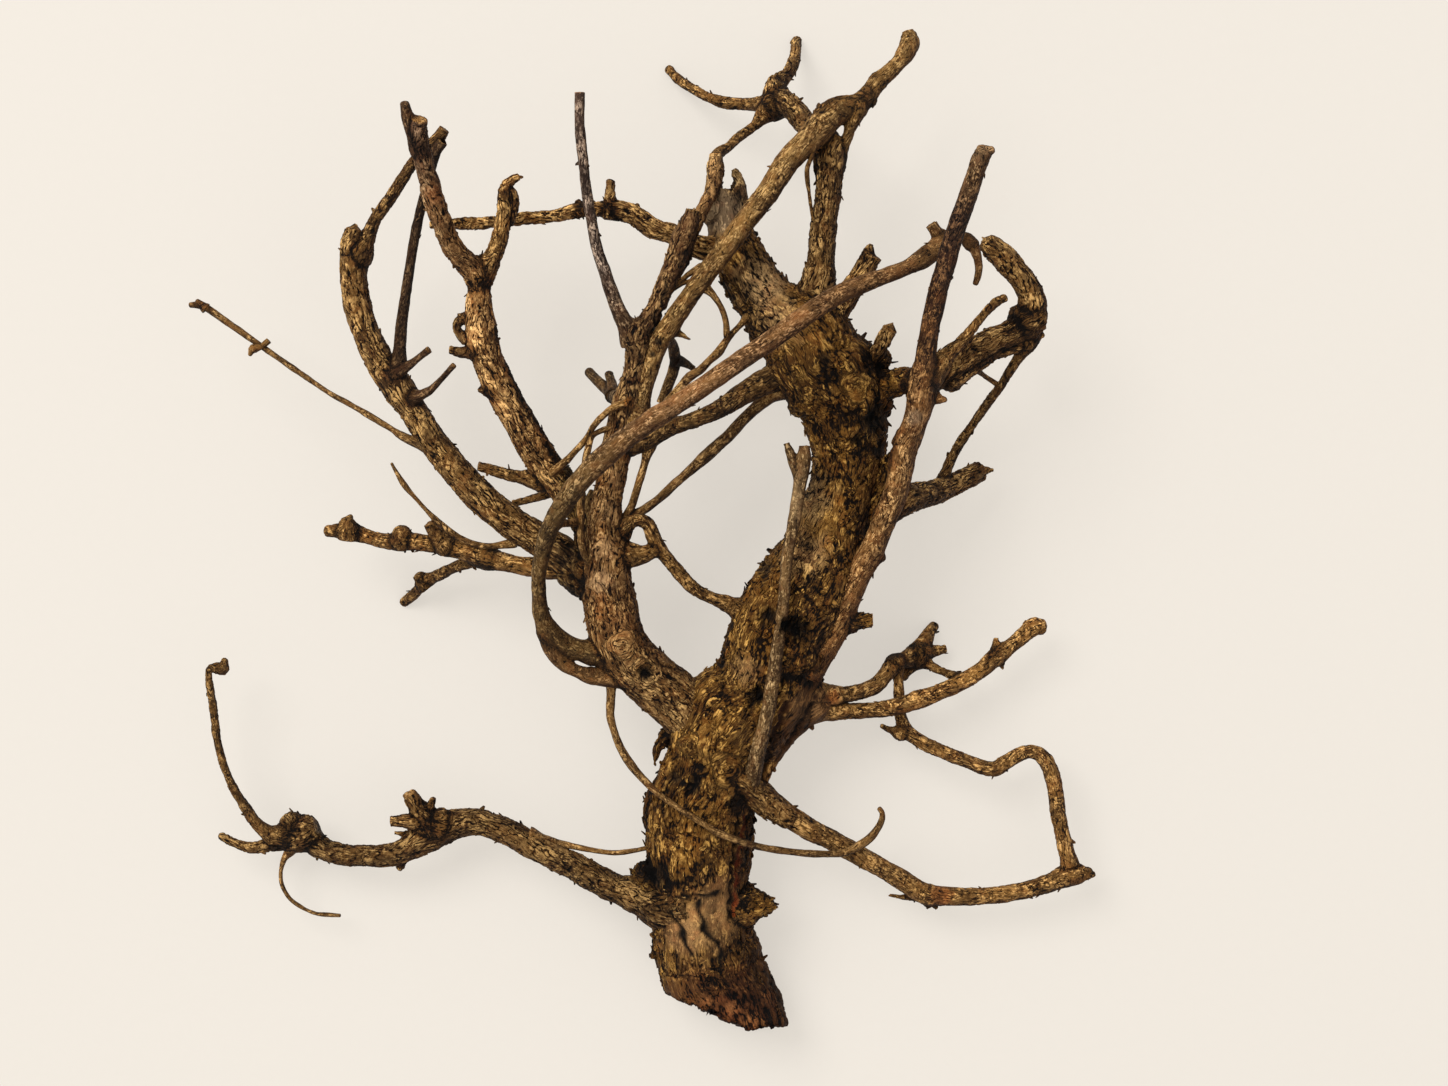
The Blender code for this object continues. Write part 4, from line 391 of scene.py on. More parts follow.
 -141 52.5 45.5 1.1, -150 57.5 44.5 1.1, -161 65 43 1.1, -170 71.2 42 1.1, -179.1 77.6 41 1.2,
 -188.2 83.9 40 1.3, -195.5 89.1 39.5 1.4, -198.6 90.7 39 1.7, -202.4 90.7 39 1.1
sprig_fork twig round
 -196.5 89.3 39.3 1.5, -200 92.1 39.5 1.1
sprig_tuft twig round
 -172.8 77.2 42.5 0.8, -175.6 75 42 1.2, -178.6 74.2 41.5 1.8, -179.9 71.8 41 0.7
whip_twig twig round
 -79.5 1 38.5 1.6, -82.5 0 38.2 1.4, -89.7 -0.7 38 1.3, -96 0.5 38 1.3, -102.4 3.7 38.5 1.2,
 -107 7.3 39 1, -111.5 11.3 39.5 1, -116.7 17 41 0.9, -121.8 23 42.5 1.1, -124.2 27 43.5 0.9,
 -126.2 30.6 44.5 0.7
straight_twig twig round
 24 60.5 51 4, 16.7 56 49.5 2.6, 11.3 51.4 48.5 2.3, 5.8 46 48 2.3, 1.3 41 47.5 2.2,
 -3.3 36.9 47 2.5, -7.8 32.8 47 2.5, -12 29 47.5 1.9, -16.9 24.6 48.5 1.8, -26 16.4 50 1.6,
 -31.5 12.5 51 1.8, -38 9 52.5 3
thin_twig_a twig cut
 -28.5 38.5 59 2.2, -30.2 31 57.5 1.5, -33 22 55.5 1.5, -35.3 14.5 53.5 1.6, -38 8.5 52.5 2.4
thin_twig_b twig cut
 -8.5 98 71 1.6, -4.5 94.5 70 1.3, -1.2 89.5 68.5 1.3, 0.5 84 67 1.3, 0.8 78.5 65 1.3
thin_twig_c twig round
 8.5 86 58 1.4, 5.5 82.7 61 1.2, 1.6 78.6 64.5 1.3, -2.4 72.8 65 1.8, -6 69.5 65 1.4,
 -9.5 66 65 1.6, -13.3 63.6 64.5 1.8, -16.5 60 63.5 1.6, -20 56 62.5 1.5, -23.5 52 61 1.4,
 -29 46 60.5 1.8
orange_tip_twig twig round
 -37 53.6 69 1, -41.5 52.3 68.5 1.4, -45.8 49 67.5 1.4, -49.5 45 66 1.4, -52.3 40.2 64.5 1.3,
 -56 36 62 1.3, -60.3 31.4 57.5 1.4, -65.5 27 51 1.8
front_stem twig cut
 -42 44.5 63.5 1.4, -47 43 65 1.3, -50.2 41 65.5 1.2, -52 35 65.5 1.3, -53.5 27 64.5 1.3,
 -54.4 17 62.5 1.4, -54.5 6 60 1.4, -53 -4 56.5 1.6, -48 -10 52 2.4
behind_twig twig cut
 -31 82 65 3.2, -25.5 80.5 50 2.2, -20.5 77 36 1.9, -18.7 70.5 27 2.3, -19.4 66 24 2.2,
 -21.5 60 21.5 2, -24 53.6 20 1.8
behind_side twig cut
 -18.8 70 27 1.9, -15.2 68.8 24 1.6, -11.8 66.6 21.5 1.2
pair_twig twig round
 -37 56 60 3.6, -41.8 56 44 2.8, -44.5 58.6 34 2.3, -48.4 62.2 27 2, -51.4 65.2 22 1.8
pair_second twig cut
 -42 56 43 2.4, -42.8 60.5 36 2, -43.8 64.6 31 1.7
runner twig round
 -42.5 -48 41 3, -43 -56 41.5 1.8, -43.3 -65 42.5 1.6, -41.5 -72 43.5 1.5, -38.5 -79 44.5 1.5,
 -34 -85.5 45.5 1.6, -29 -91 46 1.5, -24 -95.4 46.4 1.2, -17 -100.2 47.2 1.1, -10 -104.7 47.6 1.2,
 -3 -109 47.6 1.5, 4 -112 46 1.5, 11 -114.2 42.5 1.4, 20 -115.8 38 1.4, 30 -117 33.5 1.4,
 39 -117.4 30 1.4, 45.5 -116.8 28.2 1.5, 51.5 -114 28 1.8, 56.4 -109.8 29 1.6, 59.4 -105 31 1.4,
 59.7 -101.8 32 1.2, 58.7 -100.2 32.5 1.1
curled_twig twig round
 -161.5 -111.5 17 3, -164.5 -116 16 1.8, -167 -119.6 15 1.1, -168.2 -124 14 0.9,
 -167.8 -129 13.5 0.8, -165 -134 13 0.75, -160.5 -137.5 12.5 0.75, -155 -139.9 12 0.75,
 -150 -140.4 12 0.9, -145.8 -140.7 12 0.7
stray_twig twig cut
 -74 -111.5 22.5 3.2, -68 -112.4 22.5 2, -62 -113.6 22.5 1.4, -55 -115 23 1.2, -48 -116.3 24 1,
 -41 -116.9 25 1, -34 -116 26 1, -26 -114.4 27 1.2
"""

LIMBS = {}
for row in TABLE.strip().splitlines():
    if row[0] == "=":
        group = row.split()[1]
    elif row[0] == " ":
        numbers = [float(word) for word in row.replace(",", " ").split()]
        LIMBS[name][3].extend(zip(*[iter(numbers)] * 4))
    else:
        name, bark, end = row.split()
        LIMBS[name] = (group, bark, end, [])
print(len(LIMBS), "limbs in the table")

# %% [markdown]
# ## From measured stations to real places
# The stations were read by one eye looking straight down, so a limb that lies nearer the
# eye looks larger and further from the middle. `place` takes that back out. `route` then
# joins a limb's stations by a smooth Hermite curve with a point for every millimetre. The
# root of a thin limb is widened like a collar, unless a collar would show as a bulge.

# %% Places and routes
MM = 0.001
EYE_HEIGHT, PLANE_HEIGHT = 900.0, 40.0
SHIFT_E, SHIFT_N = 29.944, -5.732
FLARE, THIN_ROOT = 0.45, 5
NO_COLLAR = """front_stick stick_prong runner front_stem second_upright upper_fork upper_strand
    red_spur bud_spur pair_twig behind_twig arc_stub arc_knuckle hanging_twig low_stub
    shoot_lobe shoot_lip right_lump left_knob front_knob""".split()


def place(point):
    """Measured east, north, height and radius to a true place and radius."""
    east, north, height, radius = point
    k = (EYE_HEIGHT - height) / (EYE_HEIGHT - PLANE_HEIGHT)
    return np.array((east * k + SHIFT_E, north * k + SHIFT_N, height, radius * k))


def length_along(line):
    steps = np.linalg.norm(np.diff(line[:, :3], axis=0), axis=1)
    return np.concatenate([[0], np.cumsum(steps)])


def route(points, widen):
    """Close stations (x, y, z, radius) along a limb."""
    p = np.array([place(q) for q in points])
    if len(p) == 2:
        p = np.array([p[0], (p[0] + p[1]) / 2, p[1]])
    before = np.vstack([2 * p[0] - p[1], p[:-1]])
    after = np.vstack([p[1:], 2 * p[-1] - p[-2]])
    gap = np.linalg.norm(p[1:, :3] - p[:-1, :3], axis=1)
    gap = np.concatenate([gap[:1], gap, gap[-1:]])
    out = []
    for i in range(len(p) - 1):
        span = gap[i + 1]
        m1 = (after[i] - before[i]) * span / (span + gap[i])
        m2 = (after[i + 1] - before[i + 1]) * span / (span + gap[i + 2])
        t = np.linspace(0, 1, max(3, int(span)), endpoint=False)[:, None]
        bend = ((2 * t**3 - 3 * t**2 + 1) * p[i] + (t**3 - 2 * t**2 + t) * m1
                + (3 * t**2 - 2 * t**3) * p[i + 1] + (t**3 - t**2) * m2)
        ease = 3 * t[:, 0]**2 - 2 * t[:, 0]**3
        bend[:, 3] = p[i, 3] + (p[i + 1, 3] - p[i, 3]) * ease
        out.append(bend)
    line = np.vstack(out + [p[-1:]])
    if widen:
        line[:, 3] *= 1 + FLARE * np.exp(-(length_along(line) / (1.6 * line[0, 3] + 1))**2)
    return line


ROUTES = {name: route(row[3], row[3][0][3] < THIN_ROOT and name not in NO_COLLAR)
          for name, row in LIMBS.items()}
print("metres of limb", round(sum(length_along(r)[-1] for r in ROUTES.values()) / 1000, 2))

# %% [markdown]
# ## A distance for every limb
# A sweep along a curve gives a pipe, and pipes that meet look plumbed. Wood flows: where a
# limb leaves its parent there is a soft web. So each limb also gets a *distance*: how far a
# point is from its bark, with the place along the grain and the two offsets across it.
# The distances of neighbours are blended, and the skin is pulled to where the blend is zero.

# %% Limb frames and distance
TRUNK_FLATNESS, LIMB_FLATNESS, STOUT = 0.88, 0.95, 4
MARGIN = 6                    # millimetres round a limb in which its distance counts
AT_ONCE = 20000               # spots looked up together, to spare memory
SQUEEZE = dict(round=0.6, point=0.9)   # how far a closed tip bulges, in radii
SPLINTER, SPLINTER_LONG, SPLINTER_BACK = 1.3, 1.5, 0.5
CHIP_WIDTH, CHIP_HEIGHT, CHIP_LEAST, CHIP_MOST = 2.6, 4.5, 0.6, 1.4
NEXT_STATION = 0.8            # a radius is carried on this far past its station
END_CUTS = (((9.1, -184.8), (-0.386, -0.922)), ((9.3, -184.8), (0.12, -0.993)))


def frames(line):
    """Tangent and two side directions at each station, with no twist."""
    tangent = np.gradient(line[:, :3], axis=0)
    tangent /= np.linalg.norm(tangent, axis=1, keepdims=True)
    side = np.zeros_like(tangent)
    last = np.array((0, 0, 1.0)) if abs(tangent[0, 2]) < 0.9 else np.array((1.0, 0, 0))
    for i, t in enumerate(tangent):
        last = last - t * (last @ t)
        last = last / np.linalg.norm(last)
        side[i] = last
    return tangent, side, np.cross(tangent, side)


def hash01(*parts):
    """Steady random numbers from 0 to 1 for whole-number arrays."""
    value = sum(np.asarray(q, float) * k for q, k in zip(parts, (12.9898, 78.233, 37.719)))
    return (np.sin(value) * 43758.5453) % 1.0


# %% A limb, and its distance from any spot
class Limb:
    def __init__(self, name, number):
        self.group, self.style, self.end, points = LIMBS[name]
        self.name, self.number = name, number
        self.line = ROUTES[name]
        self.along = length_along(self.line)
        self.tangent, self.side, self.other = frames(self.line)
        self.slope = np.gradient(self.line[:, 3], self.along)
        big = max(p[3] for p in points)
        self.flat = LIMB_FLATNESS if big >= STOUT else 1.0
        if name == "trunk":
            self.flat = TRUNK_FLATNESS
        self.low = self.line[:, :3].min(0) - big - MARGIN
        self.high = self.line[:, :3].max(0) + big + MARGIN

    def near(self, spots):
        return np.nonzero(((spots > self.low) & (spots < self.high)).all(1))[0]

    def reach(self, spots):
        """Distance to the bark, outward direction, and grain place of each spot."""
        stations = self.line[:, :3]
        index = np.empty(len(spots), int)
        norms = (stations**2).sum(1)
        for a in range(0, len(spots), AT_ONCE):
            block = spots[a:a + AT_ONCE]
            index[a:a + AT_ONCE] = (norms - 2 * block @ stations.T).argmin(1)
        t = self.tangent[index]
        off = spots - stations[index]
        ahead = (off * t).sum(1)
        across = off - ahead[:, None] * t
        across[:, 2] /= self.flat
        rho = np.linalg.norm(across, axis=1) + 1e-6
        radius = self.line[index, 3] + self.slope[index] * np.clip(
            ahead, -NEXT_STATION, NEXT_STATION)
        u, v = (across * self.side[index]).sum(1), (across * self.other[index]).sum(1)
        distance = rho - radius
        outward = across / rho[:, None]
        root = (index == 0) & (ahead < 0)
        distance[root] = np.hypot(rho[root], ahead[root]) - radius[root]
        tip = np.nonzero((index == len(stations) - 1) & (ahead > 0))[0]
        if self.end in ("cut", "broken"):
            self.lid(tip, ahead[tip], radius[tip], u[tip], v[tip], t, distance, outward)
        else:
            stretched = ahead[tip] / SQUEEZE[self.end]
            distance[tip] = np.hypot(rho[tip], stretched) - radius[tip]
            outward[tip] = outward[tip] * rho[tip][:, None] + t[tip] * stretched[:, None]
            outward[tip] /= np.linalg.norm(outward[tip], axis=1, keepdims=True)
        if self.name == "trunk":
            self.hack(spots, distance, outward)
        return distance, outward, np.stack([self.along[index] + ahead, u, v], 1)

    def lid(self, tip, back, radius, u, v, t, distance, outward):
        """Flat or splintered end of the limb."""
        if self.end == "broken":
            cell = hash01(np.round(u / SPLINTER), np.round(v / SPLINTER), self.number)
            back = back - radius * (SPLINTER_LONG * cell - SPLINTER_BACK)
        past = back > distance[tip]
        distance[tip[past]] = back[past]
        outward[tip[past]] = t[tip[past]]

    def hack(self, spots, distance, outward):
        """The foot of the trunk, hacked off along upright planes."""
        k = (EYE_HEIGHT - spots[:, 2]) / (EYE_HEIGHT - PLANE_HEIGHT)
        for (px, py), (nx, ny) in END_CUTS:
            past = ((spots[:, 0] - px * k - SHIFT_E) * nx
                    + (spots[:, 1] - py * k - SHIFT_N) * ny)
            chips = hash01(np.round(spots[:, 0] / CHIP_WIDTH),
                           np.round(spots[:, 2] / CHIP_HEIGHT), 3)
            past = past + CHIP_LEAST + CHIP_MOST * chips
            lid = past > distance
            distance[lid] = past[lid]
            outward[lid] = (nx, ny, 0)


TREE = [Limb(name, i) for i, name in enumerate(LIMBS)]
print("stations", sum(len(limb.line) for limb in TREE))

# %% [markdown]
# ## Bark kinds
# Seen close, the piece wears several barks. The trunk has blocky scales with black cracks,
# the older limbs long wavy ridges, the younger ones rings and wrinkles, the front arc a
# smooth pinkish skin. Each kind is a row of amounts: scales, ridges, rings, how many
# millimetres the relief stands up, then the colour of its body and of its worn tops.

# %% Table of bark kinds
BARKS = dict(
    #          scales ridges rings  mm    body colour          worn tops
    thick=   (1.00, 0.60, 0.10, 1.60,  0.140, 0.064, 0.010,  0.491, 0.277, 0.067),
    torn=    (0.25, 1.00, 0.00, 1.00,  0.195, 0.087, 0.019,  0.585, 0.327, 0.100),
    split=   (0.10, 1.00, 0.00, 0.70,  0.212, 0.117, 0.033,  0.609, 0.398, 0.156),
    ridged=  (0.45, 1.00, 0.25, 0.95,  0.157, 0.075, 0.017,  0.609, 0.367, 0.123),
    fibrous= (0.05, 1.00, 0.00, 1.00,  0.127, 0.060, 0.016,  0.487, 0.276, 0.096),
    ringed=  (0.25, 0.60, 0.60, 0.55,  0.161, 0.079, 0.018,  0.561, 0.327, 0.106),
    freckled=(0.15, 0.60, 0.35, 0.45,  0.229, 0.121, 0.031,  0.609, 0.377, 0.133),
    stick=   (0.05, 0.40, 0.40, 0.25,  0.159, 0.087, 0.028,  0.538, 0.353, 0.148),
    smooth=  (0.05, 0.45, 0.40, 0.22,  0.182, 0.090, 0.024,  0.450, 0.255, 0.093),
    mottled= (0.15, 0.60, 0.35, 0.35,  0.143, 0.060, 0.015,  0.487, 0.255, 0.080),
    dark=    (0.05, 0.50, 0.30, 0.25,  0.072, 0.035, 0.013,  0.292, 0.169, 0.070),
    twig=    (0.10, 0.60, 0.45, 0.20,  0.161, 0.081, 0.020,  0.512, 0.306, 0.106),
    cut=     (0.00, 0.60, 0.00, 0.35,  0.280, 0.133, 0.031,  0.683, 0.408, 0.142),
)
FINENESS = dict(thick=1.0, torn=1.0, split=1.2, ridged=1.25, fibrous=1.2, ringed=1.35)
FINE = 1.45                   # how much finer the pattern is on all the other kinds
print(len(BARKS), "kinds of bark")

# %% [markdown]
# A few limbs change colour from root to tip: the tall shoot is bare tan wood below and dark
# purple-brown skin above, and the arch is olive at its root and pink-tan on its crown. Each
# row is a share of the limb's length with the body colour and the worn tops there. Others
# are only darker or lighter than their kind, by one factor.

# %% Limbs that change colour along their length, and limbs with a tone of their own
FADES = dict(
    right_shoot=(
        (0, 0.19, 0.08, 0.019, 0.56, 0.31, 0.105),
        (0.38, 0.2, 0.096, 0.026, 0.64, 0.385, 0.145),
        (0.52, 0.18, 0.08, 0.02, 0.54, 0.31, 0.118),
        (0.62, 0.062, 0.027, 0.01, 0.4, 0.205, 0.066),
        (0.88, 0.026, 0.013, 0.008, 0.26, 0.135, 0.056),
        (0.95, 0.16, 0.08, 0.026, 0.56, 0.35, 0.15),
        (1, 0.25, 0.14, 0.05, 0.64, 0.43, 0.2)),
    front_arc=(
        (0, 0.11, 0.058, 0.014, 0.38, 0.235, 0.08),
        (0.35, 0.122, 0.068, 0.018, 0.4, 0.255, 0.096),
        (0.55, 0.2, 0.098, 0.03, 0.6, 0.35, 0.15),
        (0.85, 0.178, 0.086, 0.025, 0.54, 0.31, 0.122),
        (1, 0.13, 0.066, 0.018, 0.43, 0.25, 0.088)),
    upper_limb=(
        (0, 0.12, 0.054, 0.013, 0.56, 0.33, 0.11),
        (0.55, 0.2, 0.095, 0.026, 0.64, 0.395, 0.15),
        (0.78, 0.18, 0.095, 0.032, 0.54, 0.345, 0.15),
        (1, 0.11, 0.058, 0.028, 0.43, 0.275, 0.15)),
    dark_shoot=(
        (0, 0.12, 0.058, 0.018, 0.43, 0.265, 0.105),
        (0.3, 0.062, 0.037, 0.022, 0.47, 0.34, 0.215),
        (1, 0.074, 0.043, 0.025, 0.44, 0.31, 0.19)),
    front_limb=(
        (0, 0.14, 0.068, 0.016, 0.56, 0.345, 0.115),
        (0.3, 0.24, 0.11, 0.028, 0.7, 0.425, 0.155),
        (0.55, 0.215, 0.098, 0.024, 0.66, 0.395, 0.145),
        (0.7, 0.085, 0.038, 0.011, 0.43, 0.255, 0.09),
        (1, 0.095, 0.044, 0.014, 0.4, 0.235, 0.088)),
)
# pair_twig, pair_second, behind_twig and behind_side lie under the crown and are darkened as
# painted shade
TONES = dict(
    cross_limb=0.6, second_upright=0.58, hook_limb=0.92, left_low=0.64, left_low_tail=0.8,
    upright_twig=0.8, straight_twig=0.74, far_limb=0.88, pair_twig=0.45, pair_second=0.45,
    behind_twig=0.6, behind_side=0.45, dark_root=0.4, dark_web=0.35, dark_lobe=0.42,
    left_burl=0.65, tall_twig=0.78, bark_hook_high=0.5, bark_hook_low=0.55, upright_stub=0.78,
    drooping_twig=0.7, low_left_limb=1.25, split_left=1.15, right_low_limb=1.45,
    right_loop=1.18, low_right_limb=1.15, front_knob=0.8, hanging_twig=0.75, upper_limb=1.38,
    upper_fork=1.2, top_left_twig=1.28, runner=0.82, left_sprig=0.85, long_branch=0.9,
    front_limb=0.92, left_limb=0.95, right_shoot=1.06)
print(len(FADES), "limbs change colour,", len(TONES), "have a tone of their own")

# %% [markdown]
# ## Node groups shared by shape and finish
# The same pattern has to raise the bark and to colour it, or the dark lines would miss the
# cracks. Geometry trees and shader trees share their noise, Voronoi and math nodes, so one
# function writes the pattern into either kind of tree. To let it read like a formula, a
# `Line` stands for the end of a wire, and maths on a `Line` adds the node that does it.

# %% Small helpers for node trees
class Line:
    """The end of a wire in a node tree."""

    def __init__(self, socket):
        self.socket, self.tree = socket, socket.id_data

    def __getitem__(self, name):
        """Another output of the same node."""
        return Line(self.socket.node.outputs[name])

    def math(self, operation, *others):
        kind = "ShaderNodeMath" if self.socket.type == "VALUE" else "ShaderNodeVectorMath"
        return add(self.tree, kind, (self,) + others, operation=operation)

    def times(self, factor, plus):
        """This times a factor, plus something."""
        return self.math("MULTIPLY_ADD", factor, plus)

    def __add__(self, other):
        return self.math("ADD", other)

    def __sub__(self, other):
        return self.math("SUBTRACT", other)

    def __mul__(self, other):
        return self.math("MULTIPLY", other)

    def from_one(self):
        """One minus this."""
        return add(self.tree, "ShaderNodeMath", (1.0, self), operation="SUBTRACT")


def wire(node, inputs):
    """Set a node's inputs, or link a `Line` into them, by position or by name."""
    for name, value in inputs.items() if isinstance(inputs, dict) else enumerate(inputs):
        if isinstance(value, Line):
            value.tree.links.new(value.socket, node.inputs[name])
        else:
            node.inputs[name].default_value = value


def add(tree, kind, inputs=(), out=0, **settings):
    """Add a node with its settings and inputs, and hand back one of its outputs."""
    node = tree.nodes.new(kind)
    for name, value in settings.items():
        setattr(node, name, value)
    wire(node, inputs)
    return Line(node.outputs[out]) if node.outputs else None


def soft(value, low, high, to_low=0.0, to_high=1.0):
    """A smooth step of a value between two limits."""
    return add(value.tree, "ShaderNodeMapRange", (value, low, high, to_low, to_high),
               interpolation_type="SMOOTHSTEP")


def noise(vector, scale, detail=2.0, rough=0.6):
    return add(vector.tree, "ShaderNodeTexNoise",
               dict(Vector=vector, Scale=scale, Detail=detail, Roughness=rough))


def cells(vector, scale, feature="F1"):
    return add(vector.tree, "ShaderNodeTexVoronoi", dict(Vector=vector, Scale=scale),
               out="Distance", feature=feature)


def split(vector):
    return add(vector.tree, "ShaderNodeSeparateXYZ", (vector,))


def drift(vector, stretch, scale, amounts):
    """Push a place sideways by a noise, so that what is looked up there wanders."""
    push = noise(vector * stretch, scale, 1.0, 0.5)["Color"] - (0.5, 0.5, 0.5)
    return vector + push * amounts


def new_group(kind, name, inputs, outputs):
    """A node group with named sockets: the tree, and its inputs by name."""
    tree = bpy.data.node_groups.new(name, kind)
    for word, sort, *default in inputs:
        socket = tree.interface.new_socket(word, in_out="INPUT", socket_type="NodeSocket" + sort)
        if default:
            socket.default_value = default[0]
    for word, sort in outputs:
        tree.interface.new_socket(word, in_out="OUTPUT", socket_type="NodeSocket" + sort)
    given = tree.nodes.new("NodeGroupInput").outputs
    return tree, {socket.name: Line(socket) for socket in given}


# %% [markdown]
# The pattern's inputs are the place along the grain in millimetres and the three amounts.
# It puts out the height, from 0 in a crack to 1 on top of a ridge, and a steady random
# value for each plate and for each chip on it.

# %% The bark pattern, written into either kind of tree
PLATE_SCALE, CHIP_SCALE = 0.27, 0.72


def bark_pattern(kind, name):
    tree, given = new_group(
        kind, name,
        (("Grain", "Vector"), ("Scales", "Float", 1.0), ("Ridges", "Float", 1.0),
         ("Rings", "Float", 0.2)),
        (("Height", "Float"), ("Plate value", "Float"), ("Chip value", "Float")))
    grain, rings = given["Grain"], given["Rings"]
    bent = drift(grain, (0.6, 1, 1), 0.085, (15, 9, 9))
    bent = drift(bent, (0.7, 1, 1), 0.36, (3.4, 2.2, 2.2))
    # Long wavy ridges: the contour lines of a stretched noise
    hill = noise(bent * (0.18, 1, 1), 0.21, 1.5, 0.5)
    lines = (hill * 8.0).math("PINGPONG", 0.5) * 2.0
    fine = noise(bent * (0.12, 1, 1), 1.0)
    ridge = soft(lines, 0.0, 0.42) * 0.55 + soft(fine, 0.26, 0.62) * 0.45
    # Plates with cracks that open and close, broken again into chips of many levels
    block, bits = bent * (0.55, 1, 1), bent * (0.62, 1, 1)
    opening = soft(noise(grain, 0.30, 1.0, 0.55), 0.42, 0.66, 0.0, 0.15)
    crack = soft(cells(block, PLATE_SCALE, "DISTANCE_TO_EDGE") - opening, -0.02, 0.10)
    plate = split(cells(block, PLATE_SCALE)["Color"])
    chip = split(cells(bits, CHIP_SCALE)["Color"])
    rim = soft(cells(bits, CHIP_SCALE, "DISTANCE_TO_EDGE"), 0.0, 0.14)
    scale = crack * plate[0].times(0.33, plus=(chip[0] * rim).times(0.45, plus=0.22))
    # Patches of scales give way to patches of ridges
    patch = noise(grain * (0.6, 1, 1), 0.085, 1.0, 0.55)
    scales = given["Scales"] * soft(patch, 0.40, 0.58, 0.25, 1.0)
    both = scales + given["Ridges"]
    share = scales.math("DIVIDE", both.math("MAXIMUM", 0.05))
    base = (scale - ridge).times(share, plus=ridge)
    strong = both.times(0.75, plus=0.15).math("MINIMUM", 1.0)
    base = (base - 0.6).times(strong, plus=0.6)
    # Thin broken cracks and wrinkles across the grain
    across = noise(bent * (1, 0.16, 0.16), 0.42, 1.5, 0.5) - 0.5
    nick = soft(across.math("ABSOLUTE"), 0.0, 0.045, 1.0, 0.0)
    torn = soft(noise(grain, 0.33, 1.0, 0.55), 0.46, 0.56)
    height = (base + across * rings) * (nick * torn * rings * 0.8).from_one()
    add(tree, "NodeGroupOutput",
        {"Height": height, "Plate value": plate[1], "Chip value": chip[1]})
    return tree


SHAPE_PATTERN = bark_pattern("GeometryNodeTree", "bark_pattern_shape")
COLOUR_PATTERN = bark_pattern("ShaderNodeTree", "bark_pattern_colour")
AMOUNTS = ("scales", "ridges", "rings")


def lay_pattern(tree, kind, group, grain, read):
    """The pattern in another tree, fed with the three amounts that `read` finds there."""
    amounts = {word.capitalize(): read(word) for word in AMOUNTS}
    return add(tree, kind, dict(amounts, Grain=grain), node_tree=group)


print("pattern nodes", len(SHAPE_PATTERN.nodes))

# %% [markdown]
# ## Sweeping a skin along the limbs
# A mesh of edges holds the centre lines, with the radius and the place along the limb kept
# on each vertex. The geometry tree turns edges into curves, carries a circle along them
# scaled by the radius, and caps the ends. The circle's own x and y, kept as attributes,
# become the two offsets across the grain.

# %% Geometry tree that sweeps the limbs
def named(tree, name, sort="FLOAT"):
    return add(tree, "GeometryNodeInputNamedAttribute", dict(Name=name), data_type=sort)


def keep(geometry, name, value, sort="FLOAT_VECTOR"):
    return add(geometry.tree, "GeometryNodeStoreNamedAttribute",
               dict(Geometry=geometry, Name=name, Value=value), data_type=sort)


def position(tree):
    return add(tree, "GeometryNodeInputPosition")


def join(x, y, z):
    return add(z.tree, "ShaderNodeCombineXYZ", (x, y, z))


def start_tree(name, *inputs):
    """A geometry tree that takes a mesh, its own inputs, and a bark."""
    return new_group("GeometryNodeTree", name,
                     (("Geometry", "Geometry"),) + inputs + (("Bark", "Material"),),
                     (("Geometry", "Geometry"),))


def end_tree(tree, geometry, bark, grain=None):
    """The way out of each geometry tree: real faces, their grain, and their bark."""
    real = add(tree, "GeometryNodeRealizeInstances", (geometry,))
    if grain:
        real = keep(real, "grain", grain)
    done = add(tree, "GeometryNodeSetMaterial", dict(Geometry=real, Material=bark))
    add(tree, "NodeGroupOutput", (done,))
    print(tree.name, len(tree.nodes), "nodes")
    return tree


def sweep_tree():
    tree, given = start_tree("sweep_limbs", ("Sides", "Int", 14))
    thick = named(tree, "thick")
    curves = add(tree, "GeometryNodeMeshToCurve", dict(Mesh=given["Geometry"]))
    circle = add(tree, "GeometryNodeCurvePrimitiveCircle",
                 dict(Resolution=given["Sides"], Radius=1.0))
    ring = keep(circle, "ring_place", position(tree))
    skin = add(tree, "GeometryNodeCurveToMesh",
               {"Curve": curves, "Profile Curve": ring, "Scale": thick, "Fill Caps": True})
    place_on = split(named(tree, "ring_place", "FLOAT_VECTOR"))
    wide = thick * 1000.0
    grain = join(named(tree, "along"), place_on[0] * wide, place_on[1] * wide)
    return end_tree(tree, skin, given["Bark"], grain)


SWEEP = sweep_tree()

# %% [markdown]
# The lines themselves, and how a tree is put on an object and then baked into its mesh.

# %% Centre lines, and baking trees down
APART = 61.0                  # millimetres that set each limb's pattern off from the last
DOME = ((0.35, 0.86), (0.6, 0.45))     # reach and shrink of the rings that round a tip
FIELDS = dict(FLOAT="value", FLOAT_VECTOR="vector", FLOAT_COLOR="color")


def show(name, data):
    item = bpy.data.objects.new(name, data)
    bpy.context.scene.collection.objects.link(item)
    return item


def put(mesh, name, values, sort="FLOAT"):
    """Store one value for each vertex, in place of an older one."""
    if name in mesh.attributes:
        mesh.attributes.remove(mesh.attributes[name])
    mesh.attributes.new(name, sort, "POINT").data.foreach_set(FIELDS[sort], np.ravel(values))


